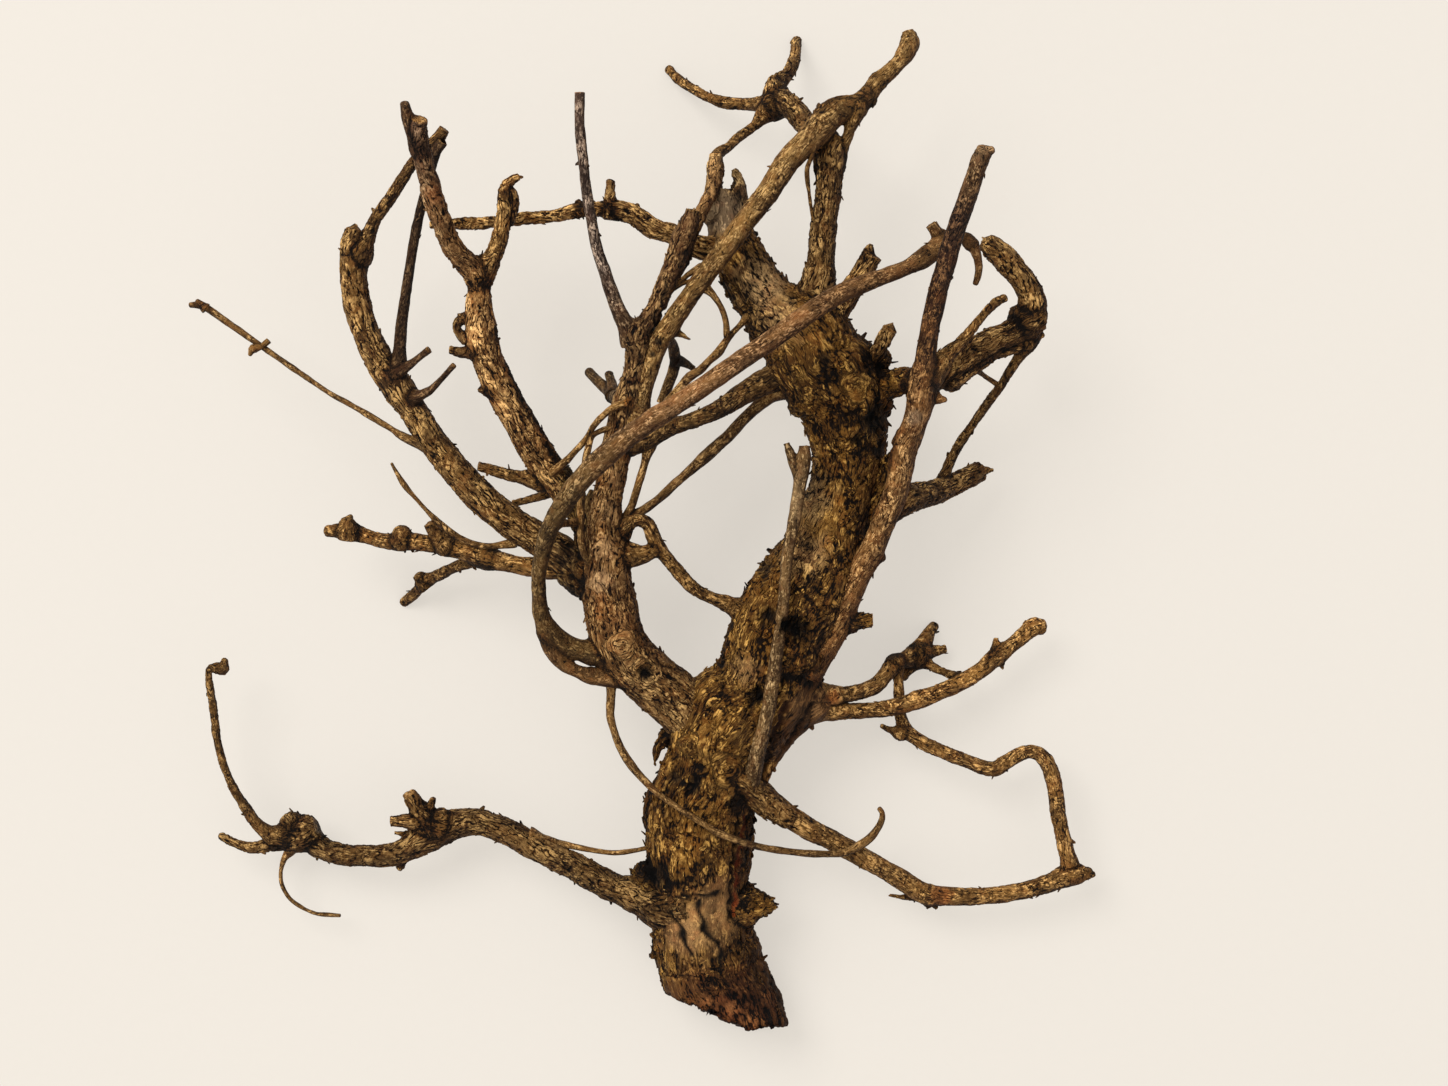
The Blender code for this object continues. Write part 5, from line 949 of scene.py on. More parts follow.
def centre_lines(name, limbs, step):
    """Edges along the limbs, with the radius and the place along on each vertex."""
    spots, edges, thick, along = [], [], [], []
    for limb in limbs:
        count = max(3, int(limb.along[-1] / step) + 1)
        pick = np.unique(np.round(np.linspace(0, len(limb.line) - 1, count)).astype(int))
        line, place_along = limb.line[pick], limb.along[pick]
        if limb.end in ("round", "point"):
            tip, r = limb.line[-1, :3], limb.line[-1, 3]
            ahead = line[-1, :3] - line[-2, :3]
            ahead = ahead / np.linalg.norm(ahead)
            for reach, shrink in DOME:
                line = np.vstack([line, np.append(tip + ahead * r * reach, r * shrink)])
                place_along = np.append(place_along, limb.along[-1] + r * reach)
        first = len(spots)
        spots += (line[:, :3] * MM).tolist()
        edges += [(first + i, first + i + 1) for i in range(len(line) - 1)]
        thick += (line[:, 3] * MM).tolist()
        along += (place_along + APART * limb.number).tolist()
    mesh = bpy.data.meshes.new(name)
    mesh.from_pydata(spots, edges, [])
    put(mesh, "thick", thick)
    put(mesh, "along", along)
    return show(name, mesh)


def add_tree(item, tree, **values):
    """Put a geometry tree on an object and set its inputs by their identifiers."""
    modifier = item.modifiers.new(tree.name, "NODES")
    modifier.node_group = tree
    for socket in tree.interface.items_tree:
        if socket.in_out == "INPUT" and socket.name in values:
            modifier[socket.identifier] = values[socket.name]


def bake_down(item):
    """Swap the object's mesh for what its modifiers make, and drop them."""
    bpy.context.view_layer.update()
    graph = bpy.context.evaluated_depsgraph_get()
    mesh = bpy.data.meshes.new_from_object(item.evaluated_get(graph))
    item.modifiers.clear()
    old, item.data = item.data, mesh
    bpy.data.meshes.remove(old)
    mesh.name = item.name
    return mesh

# %% [markdown]
# ## Marks that the table of limbs can't say
# Some marks belong to one spot: a knot hole, a bleached patch, the foot reddened by damp.
# Holes, hollows and pits are pressed in and painted near black, as painted shade.
# Each is a place seen from above with a radius, a colour to lean towards, how far to lean,
# and how deep to press the wood in, in millimetres.

# %% Local marks
MARKS = [
    # east, north, height, radius, colour, lean, press (below 0 it also bares the wood)
    (4, -180, 30, 21, (0.075, 0.024, 0.007), 0.9, 0),       # damp reddish foot
    (-12, -168, 30, 10, (0.11, 0.045, 0.013), 0.6, 0),
    (-20, -171, 20, 5, (0.075, 0.028, 0.009), 0.6, -0.02),  # smooth edge of the sawn foot
    (-10, -177, 20, 5, (0.1, 0.036, 0.01), 0.6, -0.02),
    (0, -182, 20, 5, (0.13, 0.045, 0.012), 0.6, -0.02),
    (9, -186, 20, 5, (0.09, 0.032, 0.01), 0.6, -0.02),
    (11, -181, 28, 4, (0.35, 0.15, 0.044), 0.7, 0),         # fresh chips at the hacked end
    (3, -176, 30, 3, (0.28, 0.118, 0.036), 0.6, 0),
    (-7, -173, 32, 2.6, (0.28, 0.12, 0.036), 0.5, 0),
    (16, -172, 32, 2.6, (0.26, 0.11, 0.034), 0.5, 0),
    (-8, -144, 38, 13, (0.3, 0.172, 0.06), 0.8, -0.25),     # bared pale wood
    (-17, -149, 36, 7, (0.27, 0.15, 0.055), 0.7, -0.2),
    (-2, -133, 42, 8, (0.27, 0.15, 0.055), 0.6, -0.1),
    (31, -63, 44, 9, (0.26, 0.145, 0.055), 0.75, -0.2),     # torn side of the fork
    (25, -76, 40, 7, (0.21, 0.105, 0.038), 0.7, -0.1),
    (8, -48, 50, 6, (0.24, 0.145, 0.058), 0.5, 0),
    (-30, -49, 50, 3.4, (0.005, 0.003, 0.002), 1, 2.8),     # knot hole, painted near black as shade
    (28, -33, 52, 4.4, (0.006, 0.004, 0.002), 1, 4.5),      # hollows beside the fork, pressed in and painted near black as shade
    (23, -31, 52, 3, (0.008, 0.005, 0.003), 1, 3),
    (12, -58, 52, 3.6, (0.008, 0.005, 0.003), 1, 3.5),
    (16, -27, 55, 3.2, (0.01, 0.006, 0.004), 0.9, 2.5),
    (14, -8, 56, 3.5, (0.012, 0.007, 0.004), 0.8, 1.5),
    # more hollows, painted near black as shade
    (58, 47, 62, 6, (0.01, 0.006, 0.003), 0.9, 2.5),
    (50, 40, 62, 3, (0.01, 0.006, 0.003), 0.9, 2),
    (60, 36, 60, 3.5, (0.01, 0.006, 0.003), 0.9, 2),
    (38, 70, 62, 3, (0.012, 0.007, 0.004), 0.8, 1.5),
    (-12, -92, 45, 3.4, (0.01, 0.006, 0.004), 0.9, 2),
    (-20, -88, 42, 2.6, (0.01, 0.006, 0.004), 0.9, 1.6),
    (4, -98, 45, 3, (0.014, 0.008, 0.004), 0.9, 1.8),
    (-26, -127, 34, 4.5, (0.01, 0.006, 0.004), 0.85, 1.5),
    (-60, -4, 40, 6, (0.014, 0.008, 0.004), 0.7, 0),        # painted shade in the fork of the left limbs
    (-58, -20, 40, 4.5, (0.014, 0.008, 0.004), 0.7, 0),
    (-47, -14, 58, 5, (0.48, 0.31, 0.15), 0.42, 0),         # worn front limb, paler on top: worn wood and partly a painted highlight
    (-46, -2, 60, 5, (0.47, 0.285, 0.125), 0.42, 0),
    (-44, 12, 62, 5, (0.43, 0.26, 0.105), 0.4, 0),
    (-42, 26, 63, 4.5, (0.43, 0.255, 0.1), 0.35, 0),
    (-40, -30, 55, 6, (0.3, 0.14, 0.04), 0.5, 0),
    (-1, 126, 56, 11, (0.27, 0.19, 0.1), 0.8, -0.1),        # bleached split stump
    # a hole in the stump, painted near black as shade
    (1.5, 137, 54, 2.6, (0.006, 0.004, 0.002), 1, 2.6),
    (14, 100, 58, 11, (0.35, 0.225, 0.095), 0.7, 0),
    (20, 84, 60, 9, (0.32, 0.205, 0.084), 0.6, 0),
    (30, 18, 60, 10, (0.32, 0.21, 0.09), 0.55, 0),
    (30, -4, 60, 9, (0.31, 0.2, 0.085), 0.5, 0),
    (41, -58, 38, 2.6, (0.42, 0.16, 0.035), 0.8, 0),        # orange knot
    (82, -133.5, 21, 4.5, (0.33, 0.125, 0.03), 0.75, 0),
    (-110, 132, 92, 3.6, (0.35, 0.14, 0.04), 0.6, 0),
    (-36, 54, 69, 1.6, (0.45, 0.18, 0.035), 0.8, 0),
    # two small pits, painted near black as shade
    (-25.5, 77, 72, 1.6, (0.012, 0.007, 0.004), 0.9, 0.6),
    (-27.5, 72, 72, 1.2, (0.012, 0.007, 0.004), 0.9, 0.6),
    (72, 48, 76, 3, (0.4, 0.27, 0.14), 0.7, -0.1),
    (78, 82, 92, 3.2, (0.21, 0.09, 0.026), 0.6, 0),         # brown mottles on the dark shoot
    (82, 94, 97, 2.6, (0.19, 0.08, 0.024), 0.6, 0),
    (87, 107, 104, 2.2, (0.17, 0.072, 0.024), 0.5, 0),
    (99, 149, 123, 4.5, (0.4, 0.25, 0.11), 0.85, 0),
]
SLITS = [
    # from, to (east, north), height, half width, colour, depth
    ((8.4, -103), (5.2, -121), 44, 0.85, (0.26, 0.06, 0.012), 1),
    ((5.2, -121), (3.6, -142), 40, 0.9, (0.34, 0.078, 0.014), 1.2),
    # the dark lines beside the red slit are a painted shadow
    ((6.4, -99), (3.2, -121), 44, 0.9, (0.01, 0.005, 0.003), 1.8),
    ((3.2, -121), (1.8, -142), 40, 0.9, (0.01, 0.005, 0.003), 1.8),
    # the other slits are cracks, pressed in and painted near black as shade
    ((-23, -134), (-3, -132.5), 40, 1.1, (0.006, 0.004, 0.002), 0.9),
    ((-20, -139), (-15, -150), 38, 1.1, (0.006, 0.004, 0.002), 0.8),
    ((-10, -136), (-8, -146), 40, 1.15, (0.006, 0.004, 0.002), 0.9),
    ((-8, -146), (-2, -151), 40, 1.15, (0.006, 0.004, 0.002), 0.9),
    ((-2, -151), (-1, -160), 38, 1.1, (0.006, 0.004, 0.002), 0.8),
    ((-15, -150), (-13, -156), 38, 1.1, (0.006, 0.004, 0.002), 0.7),
    ((24, -60), (15, -84), 45, 1.2, (0.04, 0.014, 0.005), 1.8),
    ((36, -56), (24, -76), 40, 1, (0.024, 0.009, 0.004), 1.2),
    ((-26, 88), (-31, 50), 68, 0.8, (0.006, 0.004, 0.003), 1),
    ((-22, 100), (-27, 70), 70, 0.7, (0.008, 0.005, 0.003), 0.9),
    ((-32, 72), (-37, 48), 66, 0.7, (0.008, 0.005, 0.003), 0.9),
]
KNOTS = [
    # east, north, height, radius: the grain runs in rings round these
    (-39, -38, 52, 5.5), (-30, -49, 50, 5.5), (1, -85, 46, 6.5), (41, -58, 38, 4.5),
    (50, 60, 62, 5.5), (-52, -46, 48, 4), (-14, -76, 45, 4.5),
]
GNARLS = [
    # east, north, height, radius, millimetres: where the wood is lumped and hollowed
    (50, 56, 55, 20, 3.2), (30, 78, 55, 14, 1.8), (22, -45, 48, 17, 3), (-6, -92, 40, 18, 2.2),
    (-24, -128, 28, 16, 2.4), (16, -134, 28, 13, 2.2), (4, -172, 28, 24, 1.8),
    (-2, 130, 52, 14, 1.4), (-48, -12, 46, 14, 2), (-150, -108, 18, 12, 1.2),
    (-112, -108, 22, 14, 1.2), (112, 86, 56, 14, 1.6), (-128, 66, 51, 12, 1.2),
]
print(len(MARKS), "marks", len(SLITS), "slits", len(KNOTS), "knots", len(GNARLS), "gnarls")

# %% [markdown]
# ## Fusing a group of limbs
# The swept pipes of one group overlap at their roots. A voxel remesh melts them into one
# closed skin of even squares. Every vertex then slides onto the blended distance, so the
# steps of the voxels vanish and the joints get their soft webs. Last it learns what it is:
# grain place, bark amounts, colours, and how near it lies to a second limb.

# %% Blend distances and give each vertex its bark
BLEND = 0.9                   # millimetres over which two distances melt together
NOWHERE, TINY = 1e9, 1e-30
CUT_FACE = 0.2                # how far before its end a sawn limb shows the cut
SCALES, RIDGES, RELIEF = 0, 1, 3       # columns of a bark row
BODY, TOP = slice(4, 7), slice(7, 10)


def bark_row(limb, place_in):
    """Bark amounts and colours of one limb at each grain place, one row of ten a spot."""
    rows = np.tile(np.array(BARKS[limb.style]), (len(place_in), 1))
    along, length = place_in[:, 0], limb.along[-1]
    if limb.name in FADES:
        steps = np.array(FADES[limb.name]).T
        for channel, values in enumerate(steps[1:]):
            rows[:, RELIEF + 1 + channel] = np.interp(along / length, steps[0], values)
    if limb.end in ("cut", "broken"):
        rows[along > length - CUT_FACE] = BARKS["cut"]
    rows[:, RELIEF + 1:] *= TONES.get(limb.name, 1.0)
    return rows


def measure(limbs, spots, want_grain):
    """Blended distance, direction, and on request what the nearest limbs say."""
    count = len(spots)
    total, best, second = np.zeros(count), np.full(count, NOWHERE), np.full(count, NOWHERE)
    direction, grain, way = (np.zeros((count, 3)) for _ in range(3))
    rows = np.zeros((count, 10))
    for limb in limbs:
        at = limb.near(spots)
        if not len(at):
            continue
        distance, outward, place_in = limb.reach(spots[at])
        weight = np.exp(-np.clip(distance / BLEND, -20, 40))
        total[at] += weight
        direction[at] += outward * weight[:, None]
        if want_grain:
            closer = distance < best[at]
            second[at] = np.where(closer, best[at], np.minimum(second[at], distance))
            best[at] = np.minimum(best[at], distance)
            fine = FINENESS.get(limb.style, FINE)
            grain[at[closer]] = place_in[closer] * fine + (APART * limb.number, 0, 0)
            station = np.searchsorted(limb.along, place_in[closer, 0])
            way[at[closer]] = limb.tangent[station.clip(0, len(limb.along) - 1)]
            rows[at] += weight[:, None] * bark_row(limb, place_in)
    blended = -BLEND * np.log(np.maximum(total, TINY))
    direction /= np.maximum(np.linalg.norm(direction, axis=1, keepdims=True), 1e-9)
    if not want_grain:
        return blended, direction
    return rows / np.maximum(total, TINY)[:, None], grain, second - best, way


# %% Find the marks on the skin, and lay them on
HALF_CELL, TOO_FAR = 1.6, 18  # how near wood must lie to a mark, seen from above and in height
HOLE, BLACK = 0.5, 0.02       # presses deeper, or colours darker, than these keep worn tops dark
TOP_GAIN, TOP_LIMIT = 1.7, 0.58
KNOT_GRAIN, KNOT_APART, KNOT_RISE = (4, 1.1, 2.2), 900, 0.8
KNOT_WAVE, MARK_WAVE, SLIT_WAVE = 0.18, 0.22, 0.6      # how ragged each outline is
KNOT_FLAT, MARK_FLAT, SLIT_FLAT = (1, 1, 0.6), (1, 1, 0.45), (1, 1, 0.1)


def settle(east, north, height, spots):
    """The real place of a mark: on top of the wood that shows there, or None."""
    z = height
    for _ in range(2):
        x, y = place((east, north, z, 1))[:2]
        under = (abs(spots[:, 0] - x) < HALF_CELL) & (abs(spots[:, 1] - y) < HALF_CELL)
        if not under.any():
            return None
        z = spots[under, 2].max()
    return np.array((x, y, z)) if abs(z - height) < TOO_FAR else None


def found(table, spots):
    """Each row of a table that shows on this piece, as offsets, its east, and the rest."""
    for east, north, height, *rest in table:
        spot = settle(east, north, height, spots)
        if spot is not None:
            yield spots - spot, east, *rest


def lean_to(rows, amount, colour, top):
    amount = amount[:, None]
    for part, aim in ((BODY, colour), (TOP, top)):
        rows[:, part] = rows[:, part] * (1 - amount) + np.array(aim) * amount


def mark_up(spots, rows, grain):
    """Turn the grain round the knots, lean the colours towards the marks, press the wood."""
    press = np.zeros(len(spots))
    for off, east, radius in found(KNOTS, spots):
        far = np.linalg.norm(off * KNOT_FLAT, axis=1)
        turn = np.arctan2(off[:, 1], off[:, 0])
        wobble = radius * (1 + KNOT_WAVE * np.sin(3 * turn + east))
        inside = far < wobble
        turn, far = turn[inside], far[inside]
        round_it, out, across = KNOT_GRAIN
        grain[inside] = np.stack([round_it * np.cos(turn) + KNOT_APART + east, out * far,
                                  across * np.sin(turn)], 1)
        rows[inside, SCALES] *= 0.3
        press[inside] -= KNOT_RISE * np.cos(far / wobble[inside] * np.pi / 2)
    for off, east, radius, colour, lean, depth in found(MARKS, spots):
        ragged = (1 + MARK_WAVE * np.sin(off[:, 0] * 7 / radius + east)
                  * np.sin(off[:, 1] * 6 / radius))
        near = np.exp(-(np.linalg.norm(off * MARK_FLAT, axis=1) / (radius * ragged))**4)
        dark = lean * depth > HOLE or max(colour) < BLACK
        gain = 1 if dark else min(TOP_GAIN, TOP_LIMIT / max(colour))
        lean_to(rows, near * lean, colour, np.array(colour) * gain)
        press += near * depth
        if depth < 0:
            for column, loss in ((SCALES, 0.85), (RIDGES, 0.5), (RELIEF, 0.5)):
                rows[:, column] *= 1 - near * loss
    for start, end, height, half, colour, depth in SLITS:
        a, b = settle(*start, height, spots), settle(*end, height, spots)
        if a is None or b is None:
            continue
        span = b - a
        share = np.clip(((spots - a) @ span) / (span @ span), 0, 1)
        off = spots - a - share[:, None] * span
        off[:, :2] += SLIT_WAVE * np.sin(spots[:, 1:2] * 0.8 + spots[:, 0:1] * 0.5)
        near = np.exp(-(np.linalg.norm(off * SLIT_FLAT, axis=1) / half)**4)
        lean_to(rows, near, colour, colour)
        rows[:, :RIDGES + 1] *= 1 - 0.85 * near[:, None]
        press += near * depth
    return press


# %% Dress a mesh: place, press and store
# Painted light and shade: wood that faces this way, towards the key lamp, is painted lighter, and
# wood that faces away darker
KEY_LAMP_WAY = np.array((-0.42, 0.36, 0.83))
CALM, SMOOTH_LUMPS = 0.5, 0.3          # millimetres of lump where no gnarl is
LOWEST = 0.05                          # the skin stays this far above the floor
SHADE_LIGHT, SUN_LIGHT = 0.18, 0.9     # floor and gain of the painted light and shade, by how far the wood faces the key lamp
SCALY, WIDEST_SEAM = 1.4, 9


def gnarls(spots):
    """How many millimetres the wood lumps at each spot."""
    most = np.full(len(spots), CALM)
    for east, north, height, radius, deep in GNARLS:
        x, y, z, _ = place((east, north, height, 1))
        far = np.linalg.norm((spots - (x, y, z)) * (1, 1, 0.5), axis=1)
        most = np.maximum(most, deep * np.exp(-(far / radius)**4))
    return most


def get_spots(mesh):
    spots = np.empty(len(mesh.vertices) * 3)
    mesh.vertices.foreach_get("co", spots)
    return spots.reshape(-1, 3)


def set_spots(mesh, spots):
    mesh.vertices.foreach_set("co", spots.ravel())
    mesh.update()


def dress(mesh, limbs, slides):
    """Slide the skin onto the blended distance and store the bark on its vertices."""
    spots = get_spots(mesh) * 1000
    for _ in range(slides):
        gap, direction = measure(limbs, spots, False)
        spots -= direction * np.clip(gap, -MARGIN, MARGIN)[:, None]
    rows, grain, seam, way = measure(limbs, spots, True)
    press = mark_up(spots, rows, grain)
    _, direction = measure(limbs, spots, False)
    spots -= direction * press[:, None]
    spots[:, 2] = np.maximum(spots[:, 2], LOWEST)
    set_spots(mesh, spots * MM)
    for column, word in enumerate(AMOUNTS + ("thick_mm",)):
        put(mesh, word, rows[:, column])
    lumps = (gnarls(spots) - SMOOTH_LUMPS) * np.clip(SCALY * rows[:, SCALES], 0, 1)
    put(mesh, "gnarl", SMOOTH_LUMPS + lumps)
    # the crease makes a groove in the shape and painted shade in the finish
    put(mesh, "crease", np.clip(seam, 0, WIDEST_SEAM))
    # painted light and shade: how far each spot faces the key lamp
    put(mesh, "lit_side_shade", np.clip(SHADE_LIGHT + SUN_LIGHT * direction @ KEY_LAMP_WAY, 0, 1))
    for part, word in ((BODY, "body_colour"), (TOP, "top_colour")):
        colours = np.column_stack([rows[:, part], np.ones(len(rows))])
        put(mesh, word, colours, "FLOAT_COLOR")
    put(mesh, "grain", grain, "FLOAT_VECTOR")
    put(mesh, "grain_way", way, "FLOAT_VECTOR")


# %% [markdown]
# ## Raising the bark
# With the grain on every vertex, a second geometry tree reads the pattern group and moves
# the skin in and out along its normals, with slow lumps where the wood is gnarled and a
# groove where two limbs meet. The finish works the height out again at every pixel, finer
# than the mesh can hold.

# %% Geometry tree that raises the bark
MIDDLE_HEIGHT = 0.62          # pattern height that stays where it is


def stretch(vector, amount):
    return add(vector.tree, "ShaderNodeVectorMath", {0: vector, "Scale": amount},
               operation="SCALE")


def raise_tree():
    tree, given = start_tree("raise_bark", ("Height", "Float", 1.0))
    pattern = lay_pattern(tree, "GeometryNodeGroup", SHAPE_PATTERN,
                          named(tree, "grain", "FLOAT_VECTOR"), lambda word: named(tree, word))
    where = drift(position(tree) * (1000, 1000, 1000), (1, 1, 1), 0.12, (9, 9, 9))
    lump = soft(cells(where, 0.13, "SMOOTH_F1"), 0.05, 0.75, 1.0, 0.0) - 0.5
    lumps = lump * named(tree, "gnarl")
    groove = soft(named(tree, "crease"), 0.0, 1.6, -0.35, 0.0)
    deep = named(tree, "thick_mm") * given["Height"]
    far = (pattern - MIDDLE_HEIGHT + groove).times(deep, plus=lumps) * 0.001
    # The dips are kept as hollow; the finish paints them darker, as painted shade
    hollow = soft(lumps, -1.0, -0.1, 1.0, 0.0)
    kept = keep(given["Geometry"], "hollow", hollow, "FLOAT")
    normal = add(tree, "GeometryNodeInputNormal")
    moved = add(tree, "GeometryNodeSetPosition",
                dict(Geometry=kept, Offset=stretch(normal, far)))
    smooth = add(tree, "GeometryNodeSetShadeSmooth", dict(Geometry=moved))
    return end_tree(tree, smooth, given["Bark"])


RAISE = raise_tree()

# %% [markdown]
# ## Loose flakes
# Dry bark lifts. Along every outline of the real piece stand small flakes, their roots in
# the bark and their tips a millimetre clear of it. Each is a flattened five-sided cone with
# sixteen faces, set on random points with a fixed seed, laid along the grain and tipped out.
# It takes its grain and colours from the bark it stands on, so one finish fits both. The
# sawn foot at the south end has none.

# %% Geometry tree that sets the flakes
FOOT_SOUTH, FOOT_NORTH = -0.180, -0.166


def draw(tree, low, high, seed):
    """A random number for each point."""
    return add(tree, "FunctionNodeRandomValue", {2: low, 3: high, "Seed": seed}, out=1,
               data_type="FLOAT")


def flake_tree():
    tree, given = start_tree("set_flakes", ("Each square metre", "Float", 20000.0),
                             ("Length", "Float", 0.0017), ("Seed", "Int", 7))
    share = named(tree, "scales").times(0.7, plus=named(tree, "ridges") * 0.3)
    share = share * soft(split(position(tree))[1], FOOT_SOUTH, FOOT_NORTH)
    points = add(tree, "GeometryNodeDistributePointsOnFaces",
                 dict(Mesh=given["Geometry"], Density=share * given["Each square metre"],
                      Seed=given["Seed"]))
    normal, along = points["Normal"], named(tree, "grain_way", "FLOAT_VECTOR")
    side = along.math("CROSS_PRODUCT", normal)
    lean = (stretch(along, draw(tree, -1.0, 1.0, 3)) + stretch(side, draw(tree, -0.7, 0.7, 4))
            + stretch(normal, draw(tree, 0.05, 0.50, 5)))
    turn = add(tree, "FunctionNodeAxesToRotation",
               {"Primary Axis": lean, "Secondary Axis": normal},
               primary_axis="Z", secondary_axis="X")
    cone = add(tree, "GeometryNodeMeshCone",
               {"Vertices": 5, "Radius Top": 0.20, "Radius Bottom": 0.46, "Depth": 1.0},
               fill_type="NGON")
    chip = keep(cone, "chip_place", position(tree) * (2, 2, 2))
    size = join(0.5, draw(tree, 0.9, 1.9, 8), draw(tree, 0.6, 1.3, 9))
    flakes = add(tree, "GeometryNodeInstanceOnPoints",
                 dict(Points=points, Instance=chip, Rotation=turn,
                      Scale=stretch(size, given["Length"])))
    grain = named(tree, "grain", "FLOAT_VECTOR") + named(tree, "chip_place", "FLOAT_VECTOR")
    return end_tree(tree, flakes, given["Bark"], grain)


FLAKES = flake_tree()

# %% [markdown]
# ## The finish
# Dead wood is matt. Its colour comes from relief: black-brown in the cracks and low spots,
# which is painted shade, a brown body, and tan where the ridges are rubbed. Wood that faces
# the key lamp is painted lighter, with a painted highlight, and wood that faces away is
# painted darker: painted light and shade. One material serves every bark, because the kinds
# and their colours lie on the vertices. Fine fibres, specks and pores that are smaller than
# the mesh come from noise along the grain, as colour and as bump.

# %% Bark material
RUST, STAIN, CRACK_SHADE = (1.40, 1.10, 1.00), (0.30, 0.27, 0.25), (0.050, 0.040, 0.034)
PAINTED_SHADE, PAINTED_HIGHLIGHT, PRINT = (0.34, 0.275, 0.215), (1.20, 1.20, 1.20), (1.36, 1.44, 1.78)
PORE_COLOUR, DEEPEN, SHINE, BUMP_DEPTH = (0.025, 0.016, 0.010), 1.15, 0.14, 0.0016


def new_material(name):
    material = bpy.data.materials.new(name)
    material.use_nodes = True
    return material, material.node_tree, material.node_tree.nodes["Principled BSDF"]


def blend(factor, a, b, way="MIX"):
    tree = next(value.tree for value in (factor, a) if isinstance(value, Line))
    return add(tree, "ShaderNodeMix", {0: factor, 6: a, 7: b}, out=2,
               data_type="RGBA", blend_type=way)


def tint(colour, by, factor=None):
    """A colour multiplied by another, wholly or where a factor says."""
    tinted = blend(1.0, colour, by + (1,), "MULTIPLY")
    return blend(factor, colour, tinted) if factor else tinted


def bark_material(name, bump, specks, rough, dark):
    material, tree, shader = new_material(name)

    def attribute(word, out="Fac"):
        return add(tree, "ShaderNodeAttribute", out=out, attribute_name=word)

    grain = attribute("grain", "Vector")
    pattern = lay_pattern(tree, "ShaderNodeGroup", COLOUR_PATTERN, grain, attribute)
    fibre = noise(grain * (0.25, 1, 1), 2.0)
    stain = noise(grain * (0.5, 1, 1), 0.11)
    rust = noise(grain + (31, 7, 3), 0.16)
    height = (noise(grain, 0.55) - 0.5).times(0.7, plus=fibre - 0.5 + pattern)
    # Near a second limb and in hollows the height drops, which deepens the bump and darkens the
    # colour: painted shade
    crease = soft(attribute("crease"), 0.0, 1.8, 0.5, 1.0)
    height = height * (crease * (attribute("hollow") * 0.5).from_one())
    body = tint(attribute("body_colour", "Color"), RUST, soft(rust, 0.45, 0.70, 0.0, 0.5))
    body = tint(body, STAIN, soft(stain, 0.40, 0.62, 0.75, 0.0))
    # Smooth skins get less painted shade in their grooves, and every skin wears through in
    # patches. Low spots of the relief are painted black-brown: painted shade in the cracks.
    rough_skin = attribute("scales") + attribute("ridges")
    groove = soft(rough_skin, 0.4, 1.2, 0.62, 1.0) * dark
    colour = blend(soft(height - groove, 0.0, 0.24), tint(body, CRACK_SHADE), body)
    chosen = pattern["Chip value"].times(0.55, plus=pattern["Plate value"] * 0.45)
    patch = noise(grain * (0.45, 1, 1), 0.26)
    worn = (soft(height, 0.56, 0.88) * soft(chosen, 0.2, 0.75, 0.25, 1.0)
            * soft(patch, 0.38, 0.60, 0.40, 1.25))
    colour = blend(worn, colour, attribute("top_colour", "Color"))
    # Painted light and shade: a painted shade where the wood faces away from the key lamp, a
    # painted highlight where it faces it
    lit_side = attribute("lit_side_shade")
    colour = tint(colour, PAINTED_SHADE, soft(lit_side, 0.10, 0.94, 1.0, 0.0))
    colour = tint(colour, PAINTED_HIGHLIGHT, soft(lit_side, 0.80, 1.0))
    colour = tint(add(tree, "ShaderNodeGamma", (colour, DEEPEN)), PRINT)
    pores = soft(cells(grain * (0.7, 1, 1), 0.55), 0.06, 0.20, specks, 0.0)
    relief = dict(Strength=bump, Distance=BUMP_DEPTH, Height=height)
    wire(shader, {"Base Color": blend(pores, colour, PORE_COLOUR + (1,)),
                  "Roughness": soft(height, 0.2, 0.9, rough + 0.12, rough - 0.1),
                  "Specular IOR Level": SHINE,
                  "Normal": add(tree, "ShaderNodeBump", relief)})
    return material


# The last number of each sets how much of the relief is painted as shade in the cracks
ROUGH_BARK = bark_material("rough_bark", 0.9, 0.6, 0.70, 0.26)
LIMB_BARK = bark_material("limb_bark", 0.9, 0.5, 0.66, 0.29)
TWIG_BARK = bark_material("twig_bark", 0.7, 0.35, 0.62, 0.27)
print("materials", ROUGH_BARK.name, LIMB_BARK.name, TWIG_BARK.name)

# %% [markdown]
# ## Making the pieces
# Six groups of stout limbs are swept, melted together and dressed, each with a voxel of its
# own. The voxel of each is chosen so that the group stays under 200,000 triangles. The thin
# twigs stay as sweeps, with their roots sunk in the stout wood, since a voxel would be as
# wide as they are.

# %% Sweep, fuse, dress and flake
VOXEL = dict(trunk=0.85, front=0.66, crown=0.62, right=0.66, left=0.62, low=0.56)
STOUT_STEP, STOUT_SIDES, SLIDES = 2.5, 18, 4
TWIG_STEP, TWIG_SIDES = 0.8, 12
TRUNK_FLAKES, LIMB_FLAKES = (40000.0, 0.0021), (27000.0, 0.0014)   # density and length
PIECES = []


def finish_piece(item):
    """Bake a piece, and lift what the relief pushed through the floor."""
    mesh = bake_down(item)
    spots = get_spots(mesh)
    spots[:, 2] = np.maximum(spots[:, 2], 0.0)
    set_spots(mesh, spots)
    PIECES.append(item)
    print(item.name, sum(len(face.vertices) - 2 for face in mesh.polygons), "triangles")
    return mesh


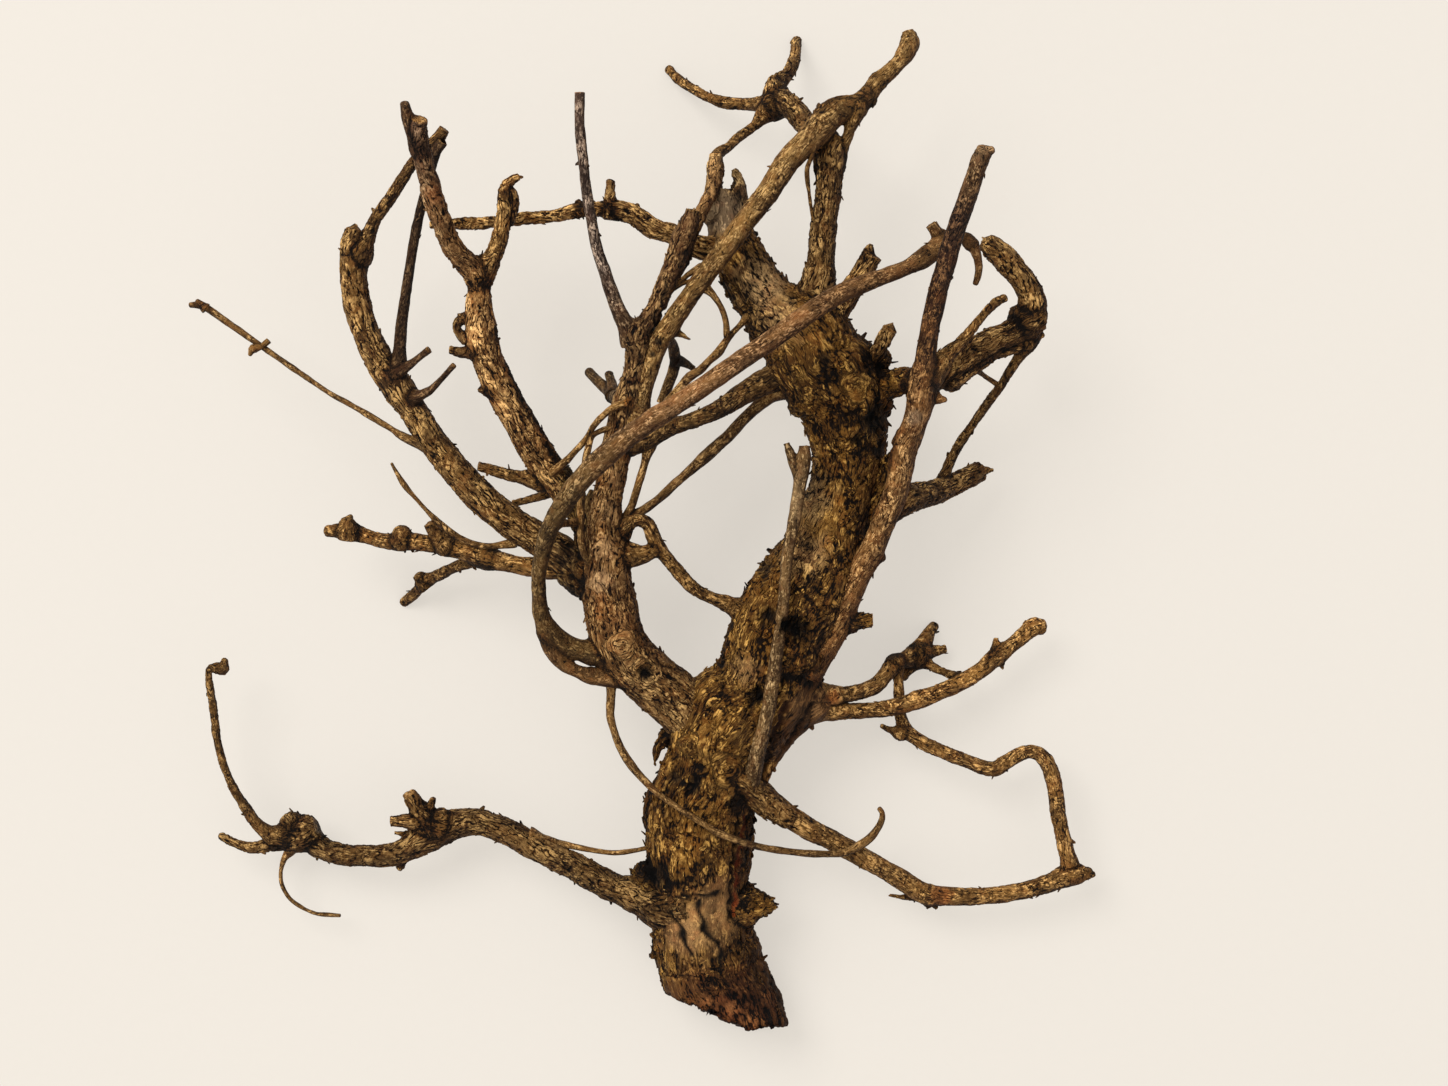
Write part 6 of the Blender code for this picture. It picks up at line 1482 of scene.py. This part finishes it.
def make_wood(name, limbs, bark, step, sides, voxel=None):
    item = centre_lines(name, limbs, step)
    add_tree(item, SWEEP, Sides=sides, Bark=bark)
    if voxel:
        melt = item.modifiers.new("melt", "REMESH")
        melt.mode, melt.voxel_size = "VOXEL", voxel * MM
    dress(bake_down(item), limbs, SLIDES if voxel else 0)
    add_tree(item, RAISE, Height=1.0, Bark=bark)
    return finish_piece(item)


def in_group(group):
    return [limb for limb in TREE if limb.group == group]


for group in VOXEL:
    limbs = in_group(group)
    bark = ROUGH_BARK if group == "trunk" else LIMB_BARK
    density, length = TRUNK_FLAKES if group == "trunk" else LIMB_FLAKES
    mesh = make_wood(group + "_wood", limbs, bark, STOUT_STEP, STOUT_SIDES, VOXEL[group])
    flakes = show(group + "_flakes", mesh.copy())
    add_tree(flakes, FLAKES, Length=length, Seed=len(limbs), Bark=bark,
             **{"Each square metre": density})
    finish_piece(flakes)
make_wood("thin_twigs", in_group("twig"), TWIG_BARK, TWIG_STEP, TWIG_SIDES)

# %% [markdown]
# ## Riding on the frame
# There is one body, so every piece rides on it, and the CAD node it replaces is hidden.

# %% Ride and replace
for piece in PIECES:
    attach(piece, "root")
    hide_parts(NODE)
print([piece.name for piece in PIECES])

# %% [markdown]
# ## Floor, light and camera
# The photograph looks straight down on the piece, on pale card under wide soft light from
# the upper left. The card glows a little, as on a light table, which keeps shadows pale.
# The camera stands over the picture's middle, as high as the eye that the table was read
# with.

# %% Stage
CARD_COLOUR, CARD_GLOW, CARD_HALF = (0.24, 0.2245, 0.203), 2.27, 4
SKY, SKY_STRENGTH = (1.0, 0.975, 0.94, 1), 0.85
LAMP_COLOUR, LAMP_SIZE = (1.0, 0.985, 0.965), 2.0


def pale_card():
    material, tree, shader = new_material("pale_card")
    grain = noise(add(tree, "ShaderNodeTexCoord", out="Object"), 260.0, 2.0, 0.55)
    paler = tuple(c * 1.02 for c in CARD_COLOUR)
    shade = blend(grain, CARD_COLOUR + (1,), paler + (1,))
    wire(shader, {"Base Color": shade, "Emission Color": shade, "Emission Strength": CARD_GLOW,
                  "Roughness": soft(grain, 0.0, 1.0, 0.88, 0.95)})
    return material


def soft_box(name, place_at, power):
    data = bpy.data.lights.new(name, "AREA")
    data.shape, data.size = "DISK", LAMP_SIZE
    data.energy, data.color = power, LAMP_COLOUR
    lamp = show(name, data)
    lamp.location = place_at
    lamp.rotation_euler = (-Vector(place_at)).to_track_quat("-Z", "Y").to_euler()


mesh = bpy.data.meshes.new("card_floor")
corners = ((-1, -1), (1, -1), (1, 1), (-1, 1))
mesh.from_pydata([(x * CARD_HALF, y * CARD_HALF, 0) for x, y in corners], [], [(0, 1, 2, 3)])
mesh.materials.append(pale_card())
floor = show("card_floor", mesh)

bpy.context.scene.view_settings.view_transform = "Standard"
world = bpy.data.worlds.new("studio")
bpy.context.scene.world = world
world.use_nodes = True
wire(world.node_tree.nodes["Background"], (SKY, SKY_STRENGTH))
soft_box("key_light", (-1.5, 1.55, 2.7), 80)
soft_box("fill_light", (2.0, -1.4, 2.5), 8)
print("floor, sky and two lamps")

# %% Camera over the picture's middle
MIDDLE = (SHIFT_E - 0.25, SHIFT_N + 0.5)
PICTURE_WIDTH = 1448 * 0.379  # pixels of the photograph, each this many millimetres
SENSOR = 36.0
camera_data = bpy.data.cameras.new("camera")
camera_data.sensor_width = SENSOR
camera_data.lens = SENSOR * (EYE_HEIGHT - PLANE_HEIGHT) / PICTURE_WIDTH
camera_data.clip_start = 0.01
camera = show("camera", camera_data)
camera.location = (MIDDLE[0] * MM, MIDDLE[1] * MM, EYE_HEIGHT * MM)
bpy.context.scene.camera = camera
print("lens", round(camera_data.lens, 2), "mm")

bpy.context.view_layer.update()
